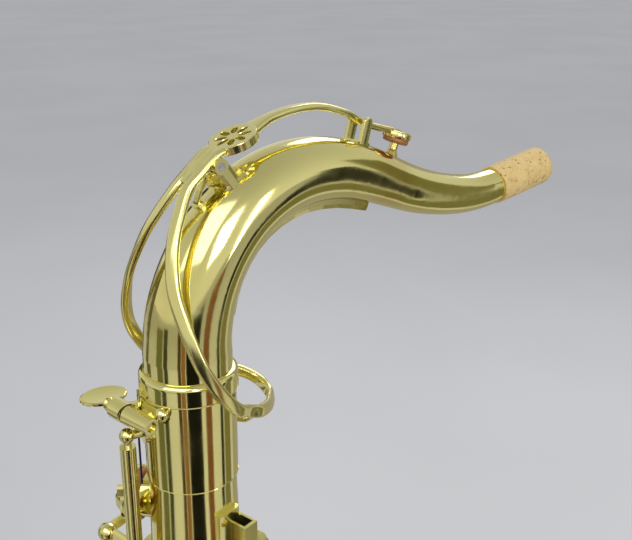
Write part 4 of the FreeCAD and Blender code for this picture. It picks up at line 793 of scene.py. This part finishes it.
# %% Find the posts of the guide
guide_wall = 1.5
same_level = 0.00001
guide_mesh = frame["nodes"]["neck_key_guide"].data
level_tops = [face for face in guide_mesh.polygons
              if face.normal.z > 0.8 and abs(face.normal.y) < 0.02]
post_way = max(level_tops, key=lambda face: face.center.z).normal.copy()
top_level = max(vertex.co.dot(post_way) for vertex in guide_mesh.vertices)
top_spots = [vertex.co for vertex in guide_mesh.vertices
             if vertex.co.dot(post_way) > top_level - same_level]
top_middle = Vector((sum(spot.x for spot in top_spots) / len(top_spots), 0,
                     sum(spot.z for spot in top_spots) / len(top_spots)))
post_side = max(spot.y for spot in top_spots) * 1000 - guide_wall / 2
print("guide top in mm", [round(c * 1000, 1) for c in top_middle], round(post_side, 2))

# %% Round posts on their foot
# Heights in mm from the top of a post, and the width of the post at each
post_heights = (-9.2, -6.0, -2.0, -1.2, -0.55, -0.18, -0.02)
post_widths = [w / 1000 for w in (4.0, 4.0, 4.0, 3.67, 2.76, 1.66, 0.8)]
guide_shapes = []
for side in (-post_side, post_side):
    spots = [top_middle + (across * side + post_way * height) / 1000 for height in post_heights]
    guide_shapes.append(strip(spots, [across] * len(spots), post_widths, guide_wall / 1000,
                              soft=0.2))
foot_depth = 0.0090
foot_half = 0.0028
foot_width = 0.0084
foot_middle = top_middle - post_way * foot_depth
along = across.cross(post_way).normalized()
guide_shapes.append(strip([foot_middle - along * foot_half, foot_middle + along * foot_half],
                          [post_way] * 2, [foot_width] * 2, guide_wall / 1000, soft=0.25))
guide_brass = finished("neck_guide_brass", *joined(*guide_shapes), [key_brass],
                       body_of_node["neck_key_guide"])
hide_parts("neck_key_guide")

# %% [markdown]
# The clamp screw and the cork
#
# The screw that pinches the receiver ends in an oval wing with a rounded rim, made here as a
# turned disc that is squeezed to an oval. The cork sleeve is turned too: its open end is rounded
# by years of mouthpieces, and its surface carries a slight swell.

# %% Clamp screw
# Lengths in mm. The lugs stand at this angle round the receiver
lug_angle = 188.2
lug_reach = 19.25
screw_shift = 4.6
screw_drop = 5.9
clamp_side = around(lug_angle, 1)
clamp_axis = up.cross(clamp_side) * -1
clamp_middle = joint_line + (clamp_side * lug_reach + clamp_axis * screw_shift
                             - up * screw_drop) / 1000
screw_profile = in_metres(((0, -8.1), (1.3, -8.1), (1.6, -7.8), (1.6, 9.38), (2.5, 9.42),
                           (2.75, 9.7), (2.75, 10.4), (2.35, 10.9), (2.0, 11.6), (2.3, 12.4),
                           (2.0, 13.2), (0, 13.4)))
shank = turned(screw_profile, clamp_middle, clamp_axis, count=48)

# %% Wing of the screw
# Its profile has radii as shares of the oval's widths, and heights in mm
wing_start = 12.4
wing_length = 11.7
wing_half = 7.9
wing_widths = (0.0079, 0.00585)
wing_middle = clamp_middle + (clamp_axis * (wing_start + wing_length * 0.49)
                              - clamp_side * (wing_length * 0.16)) / 1000
wing_profile = [(r / wing_half, h / 1000) for r, h in
                ((0, -0.72), (6.4, -0.75), (7.3, -0.70), (7.75, -0.45), (7.9, 0), (7.75, 0.45),
                 (7.3, 0.70), (6.6, 0.66), (6.0, 0.52), (0, 0.48))]
wing = turned(wing_profile, wing_middle, up, 96, wing_widths, around(-8.2, 1))
clamp_screw = finished("clamp_screw_brass", *joined(shank, wing), [key_brass], "neck_clamp_screw")
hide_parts("neck_clamp_screw")
print("clamp screw middle in mm", [round(c * 1000, 1) for c in clamp_middle])

# %% Cork sleeve
cork_way = Vector((0.9914449, 0, 0.1305262))
neck_end = Vector((0.14899094, 0, 0.31052341))
cork_inner = 7.05
worn_from = 7.3
wear = 0.6
chip_depth = 0.28
cork_profile = [(cork_inner, -30.9), (7.5, -30.98), (7.85, -30.8), (7.93, -30.2), (7.9, -24),
                (7.96, -16), (7.93, -8), (7.96, -2.0), (7.9, -1.1), (7.7, -0.5), (7.4, -0.15),
                (cork_inner, -0.1)]
side = across
other = cork_way.cross(side)
count = 96
vertices, faces = [], []
for radius, height in cork_profile:
    for step in range(count):
        turn = 2 * math.pi * step / count
        worn = 0.05 * math.sin(5 * turn + height * 0.5) + 0.04 * math.sin(9 * turn - height)
        chip = chip_depth * max(0, math.sin(3 * turn + 1.1)) ** 6 if height < -30 else 0
        reach = (radius + (worn if radius > worn_from else 0) * wear - chip) / 1000
        vertices.append(neck_end + cork_way * (height / 1000) + side * (reach * math.cos(turn))
                        + other * (reach * math.sin(turn)))
for ring in range(len(cork_profile)):
    for step in range(count):
        after = (step + 1) % count
        low = ring * count
        high = ((ring + 1) % len(cork_profile)) * count
        faces.append((low + step, high + step, high + after, low + after))
cork_sleeve = finished("neck_cork_sleeve", vertices, faces, [cork], "neck", sharp=50)
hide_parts("neck_cork")
print("cork faces", len(faces))

# %% [markdown]
# Knurled heads
#
# The screws that fingers turn have ridges around their heads. One ridge is a small six-sided bar,
# and Geometry Nodes set copies of it around a circle.

# %% Ridges


def knurl_tree(finish):
    tree = new_tree("knurled_head", (
        ("Head radius", "NodeSocketFloat"), ("Ridge count", "NodeSocketInt"),
        ("Ridge radius", "NodeSocketFloat"), ("Ridge length", "NodeSocketFloat")))
    nodes = tree.nodes
    link = tree.links.new
    given = nodes.new("NodeGroupInput")
    ring = nodes.new("GeometryNodeMeshCircle")
    link(given.outputs["Ridge count"], ring.inputs["Vertices"])
    link(given.outputs["Head radius"], ring.inputs["Radius"])
    ridge = nodes.new("GeometryNodeMeshCylinder")
    ridge.inputs["Vertices"].default_value = 6
    link(given.outputs["Ridge radius"], ridge.inputs["Radius"])
    link(given.outputs["Ridge length"], ridge.inputs["Depth"])
    scatter = nodes.new("GeometryNodeInstanceOnPoints")
    link(ring.outputs["Mesh"], scatter.inputs["Points"])
    link(ridge.outputs["Mesh"], scatter.inputs["Instance"])
    end_tree(tree, scatter.outputs["Instances"], finish)
    return tree


def knurl(name, middle, axis, sizes, body):
    mesh = grown(knurl_tree(key_brass), sizes)
    turn = axis.to_track_quat("Z", "Y").to_matrix().to_4x4()
    mesh.transform(Matrix.Translation(middle) @ turn)
    thing = placed(name, mesh)
    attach(thing, body)
    return thing


# The screw of the lyre holder: angles in degrees round the body, lengths in mm
holder_angle = 281.6
head_angle = 292.8
head_reach = 19.1
head_shift = 7.2
head_drop = 59.7
lyre_way = around(holder_angle + 90, 1)
lyre_head = joint_line + (around(head_angle, head_reach) + lyre_way * head_shift
                          - up * head_drop) / 1000
knurl("lyre_screw_ridges", lyre_head, lyre_way,
      {"Head radius": 0.0034, "Ridge count": 26, "Ridge radius": 0.00026, "Ridge length": 0.0036},
      body_of_node["lyre_screw"])

# %% [markdown]
# Burnished edges
#
# Where two tubes meet, the outer one ends in a thin rolled edge. It is hardly raised, but it
# catches a line of light around the tube, with a dark line beside it. Each is a closed ring with
# a small rounded section.

# %% Edges of the neck joint


def rolled_edge(name, radius, level, rise, height, body):
    """A ring round the joint line. Sizes in mm, level above the joint line."""
    section = 8
    around_count = 144
    vertices, faces = [], []
    for step in range(around_count):
        way = around(360 * step / around_count, 1)
        for part in range(section):
            turn = 2 * math.pi * part / section
            reach = radius + rise * math.cos(turn)
            vertices.append(joint_line + (way * reach
                                          + up * (level + height / 2 * math.sin(turn))) / 1000)
    for step in range(around_count):
        after = (step + 1) % around_count
        for part in range(section):
            beside = (part + 1) % section
            faces.append((step * section + part, after * section + part,
                          after * section + beside, step * section + beside))
    return finished(name, vertices, faces, [tube_brass], body)


receiver_low = (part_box("neck_receiver")[0][2] - joint_line.z) * 1000
print("lower end of the receiver in mm", round(receiver_low, 2))
rolled_edge("receiver_top_edge", 15.80, -0.35, rise=0.22, height=0.5,
            body=body_of_node["neck_receiver"])
rolled_edge("receiver_low_edge", 15.10, receiver_low + 0.45, rise=0.28, height=0.5,
            body=body_of_node["neck_receiver"])

# %% [markdown]
# The stage
#
# The instrument stands on a wide pale floor, under an even pale sky that meets it at the horizon.
# Neither has a pattern that would draw the eye or show up in the brass.

# %% Floor
floor_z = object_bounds()[0].z


def stage_plane(name, size, place):
    """A level square, with its size in metres and the place of its middle."""
    half = size / 2
    mesh = bpy.data.meshes.new(name)
    corners = [Vector((x * half, y * half, 0)) for x, y in ((-1, -1), (1, -1), (1, 1), (-1, 1))]
    mesh.from_pydata([place + corner for corner in corners], [], [(0, 1, 2, 3)])
    return placed(name, mesh)


floor = stage_plane("studio_floor", 60, Vector((0, 0, floor_z)))
paint, tree, shader = new_material("floor_paint")
soft = noise(tree, scale=1.5, detail=2).outputs["Fac"]
coloured(tree, shader, soft, ((0.3, (0.66, 0.66, 0.67)), (0.7, (0.70, 0.70, 0.71))))
shader.inputs["Roughness"].default_value = 0.9
floor.data.materials.append(paint)
print("floor height in mm", round(floor_z * 1000, 1))

# %% [markdown]
# The sky
#
# The world has two lights. What the camera and the reflections see gets darker with the height,
# so polished metal has a gradient to show. All other rays get an even fill, which softens the
# shadows and has no say in the reflections.

# %% World
world = bpy.data.worlds.new("studio")
bpy.context.scene.world = world
world.use_nodes = True
sky = world.node_tree
sky.nodes.clear()
seen = sky.nodes.new("ShaderNodeBackground")
seen.inputs["Color"].default_value = (0.80, 0.81, 0.83, 1)
sky_place = sky.nodes.new("ShaderNodeTexCoord")
height = sky.nodes.new("ShaderNodeSeparateXYZ")
sky.links.new(sky_place.outputs["Generated"], height.inputs["Vector"])
dimmer = sky.nodes.new("ShaderNodeMapRange")
dimmer.inputs["To Min"].default_value = 0.95
dimmer.inputs["To Max"].default_value = 0.55
sky.links.new(height.outputs["Z"], dimmer.inputs["Value"])
sky.links.new(dimmer.outputs["Result"], seen.inputs["Strength"])
fill = sky.nodes.new("ShaderNodeBackground")
fill.inputs["Color"].default_value = (0.96, 0.97, 1.0, 1)
fill.inputs["Strength"].default_value = 0.60
path = sky.nodes.new("ShaderNodeLightPath")
either = sky.nodes.new("ShaderNodeMath")
either.operation = "MAXIMUM"
sky.links.new(path.outputs["Is Camera Ray"], either.inputs[0])
sky.links.new(path.outputs["Is Glossy Ray"], either.inputs[1])
any_of = sky.nodes.new("ShaderNodeMath")
any_of.operation = "MAXIMUM"
sky.links.new(either.outputs["Value"], any_of.inputs[0])
sky.links.new(path.outputs["Is Transmission Ray"], any_of.inputs[1])
blend = sky.nodes.new("ShaderNodeMixShader")
sky.links.new(any_of.outputs["Value"], blend.inputs["Fac"])
sky.links.new(fill.outputs["Background"], blend.inputs[1])
sky.links.new(seen.outputs["Background"], blend.inputs[2])
sky_out = sky.nodes.new("ShaderNodeOutputWorld")
sky.links.new(blend.outputs["Shader"], sky_out.inputs["Surface"])

# %% [markdown]
# Dark cards
#
# Polished metal shows nothing but its surroundings. In a bright empty room it would look like
# cream, so dark and brown cards stand around the instrument where only reflections find them.
# Each is a curved wall with a strip that runs inwards along the floor, because the camera looks
# down and so do the reflections.

# %% Table of cards
# Each row: name, first and last angle in degrees from the camera's side, height in metres and
# linear colour
card_rows = (("card_black", 3, 36, 0.62, (0.010, 0.010, 0.009)),
             ("card_umber", -18, -10, 0.70, (0.075, 0.042, 0.022)),
             ("card_brown", -9, 1, 0.55, (0.26, 0.135, 0.055)),
             ("card_slate", -55, -44, 0.62, (0.05, 0.052, 0.03)),
             ("card_olive", -76, -58, 0.58, (0.15, 0.15, 0.075)),
             ("card_edge", -118, -100, 0.9, (0.13, 0.12, 0.07)),
             ("card_rust", 46, 62, 0.60, (0.19, 0.08, 0.035)),
             ("card_side", 86, 95, 0.85, (0.02, 0.02, 0.015)),
             ("card_night", 98, 120, 1.15, (0.19, 0.18, 0.09)),
             ("card_dun", 130, 176, 1.0, (0.36, 0.34, 0.29)),
             ("card_back", 205, 218, 1.2, (0.05, 0.045, 0.035)))

# %% Set up the cards
card_reach = 1.15
card_inner = 0.28
card_steps = 8
card_lift = 0.001
camera_forward = Vector((0.6105, 0.7093, -0.3524)).normalized()
camera_azimuth = math.degrees(math.atan2(-camera_forward.y, -camera_forward.x))
for name, first, last, height, colour in card_rows:
    vertices = []
    for step in range(card_steps + 1):
        angle = camera_azimuth + first + (last - first) * step / card_steps
        for reach, level in ((card_inner, card_lift), (card_reach, card_lift),
                             (card_reach, height)):
            place = joint_line + around(angle, reach)
            vertices.append(Vector((place.x, place.y, floor_z + level)))
    faces = []
    for step in range(card_steps):
        for row in range(2):
            corner = 3 * step + row
            faces.append((corner, corner + 3, corner + 4, corner + 1))
    mesh = bpy.data.meshes.new(name)
    mesh.from_pydata(vertices, [], faces)
    card = placed(name, mesh)
    cloth, tree, shader = new_material(name + "_cloth")
    tree.nodes.remove(shader)
    glow = tree.nodes.new("ShaderNodeEmission")
    glow.inputs["Color"].default_value = (*colour, 1)
    output = [node for node in tree.nodes if node.type == "OUTPUT_MATERIAL"][0]
    tree.links.new(glow.outputs["Emission"], output.inputs["Surface"])
    mesh.materials.append(cloth)
    card.visible_camera = False
    card.visible_diffuse = False
    card.visible_shadow = False
    card.visible_transmission = False
print("cards", len(card_rows))

# %% [markdown]
# Lamps
#
# A window lamp on the camera's side gives the long highlight on the bend of the neck, and a
# narrow one beside it a line on the tubes. A wide lamp above and one behind the instrument fill
# the other sides, so it also reads from the back.

# %% Lamps


def lamp(name, place, aim, size, power):
    """A soft lamp. Place, aim and size are in metres, power is in watts."""
    light = bpy.data.lights.new(name, "AREA")
    light.shape = "RECTANGLE"
    light.size, light.size_y = size
    light.energy = power
    source = placed(name, light)
    source.location = place
    source.rotation_mode = "QUATERNION"
    source.rotation_quaternion = (Vector(aim) - Vector(place)).to_track_quat("-Z", "Y")


neck_middle = (0.0, 0.0, 0.32)
lamp("window_lamp", (-0.37, -1.39, 1.0), neck_middle, (0.5, 0.6), 8)
lamp("side_lamp", (0.48, -1.40, 0.52), neck_middle, (0.12, 0.7), 2)
lamp("sky_lamp", (-1.2, -0.5, 1.6), neck_middle, (1.6, 1.2), 12)
lamp("back_lamp", (1.4, 0.9, 1.3), neck_middle, (0.8, 0.8), 7)

# %% [markdown]
# The camera
#
# The camera stands a little above the neck, on the player's left, and looks down and across.
# Its place was worked out from the picture's vanishing lines and the known lengths of the neck.

# %% Camera
picture_width = 632
focal_px = 864.061
camera_place = Vector((-0.16186, -0.21499, 0.39848))
camera_right = Vector((0.7605, -0.6492, 0.011)).normalized()
camera_right = (camera_right - camera_forward * camera_right.dot(camera_forward)).normalized()
camera_up = camera_right.cross(camera_forward)
view = bpy.data.cameras.new("picture_camera")
view.sensor_width = 36
view.lens = focal_px * view.sensor_width / picture_width
view.clip_start = 0.01
view.clip_end = 150
eye = placed("picture_camera", view)
turn = Matrix((camera_right, camera_up, -camera_forward)).transposed().to_4x4()
eye.matrix_world = Matrix.Translation(camera_place) @ turn
bpy.context.scene.camera = eye
bpy.context.scene.view_settings.view_transform = "Standard"
print("lens in mm", round(view.lens, 2))
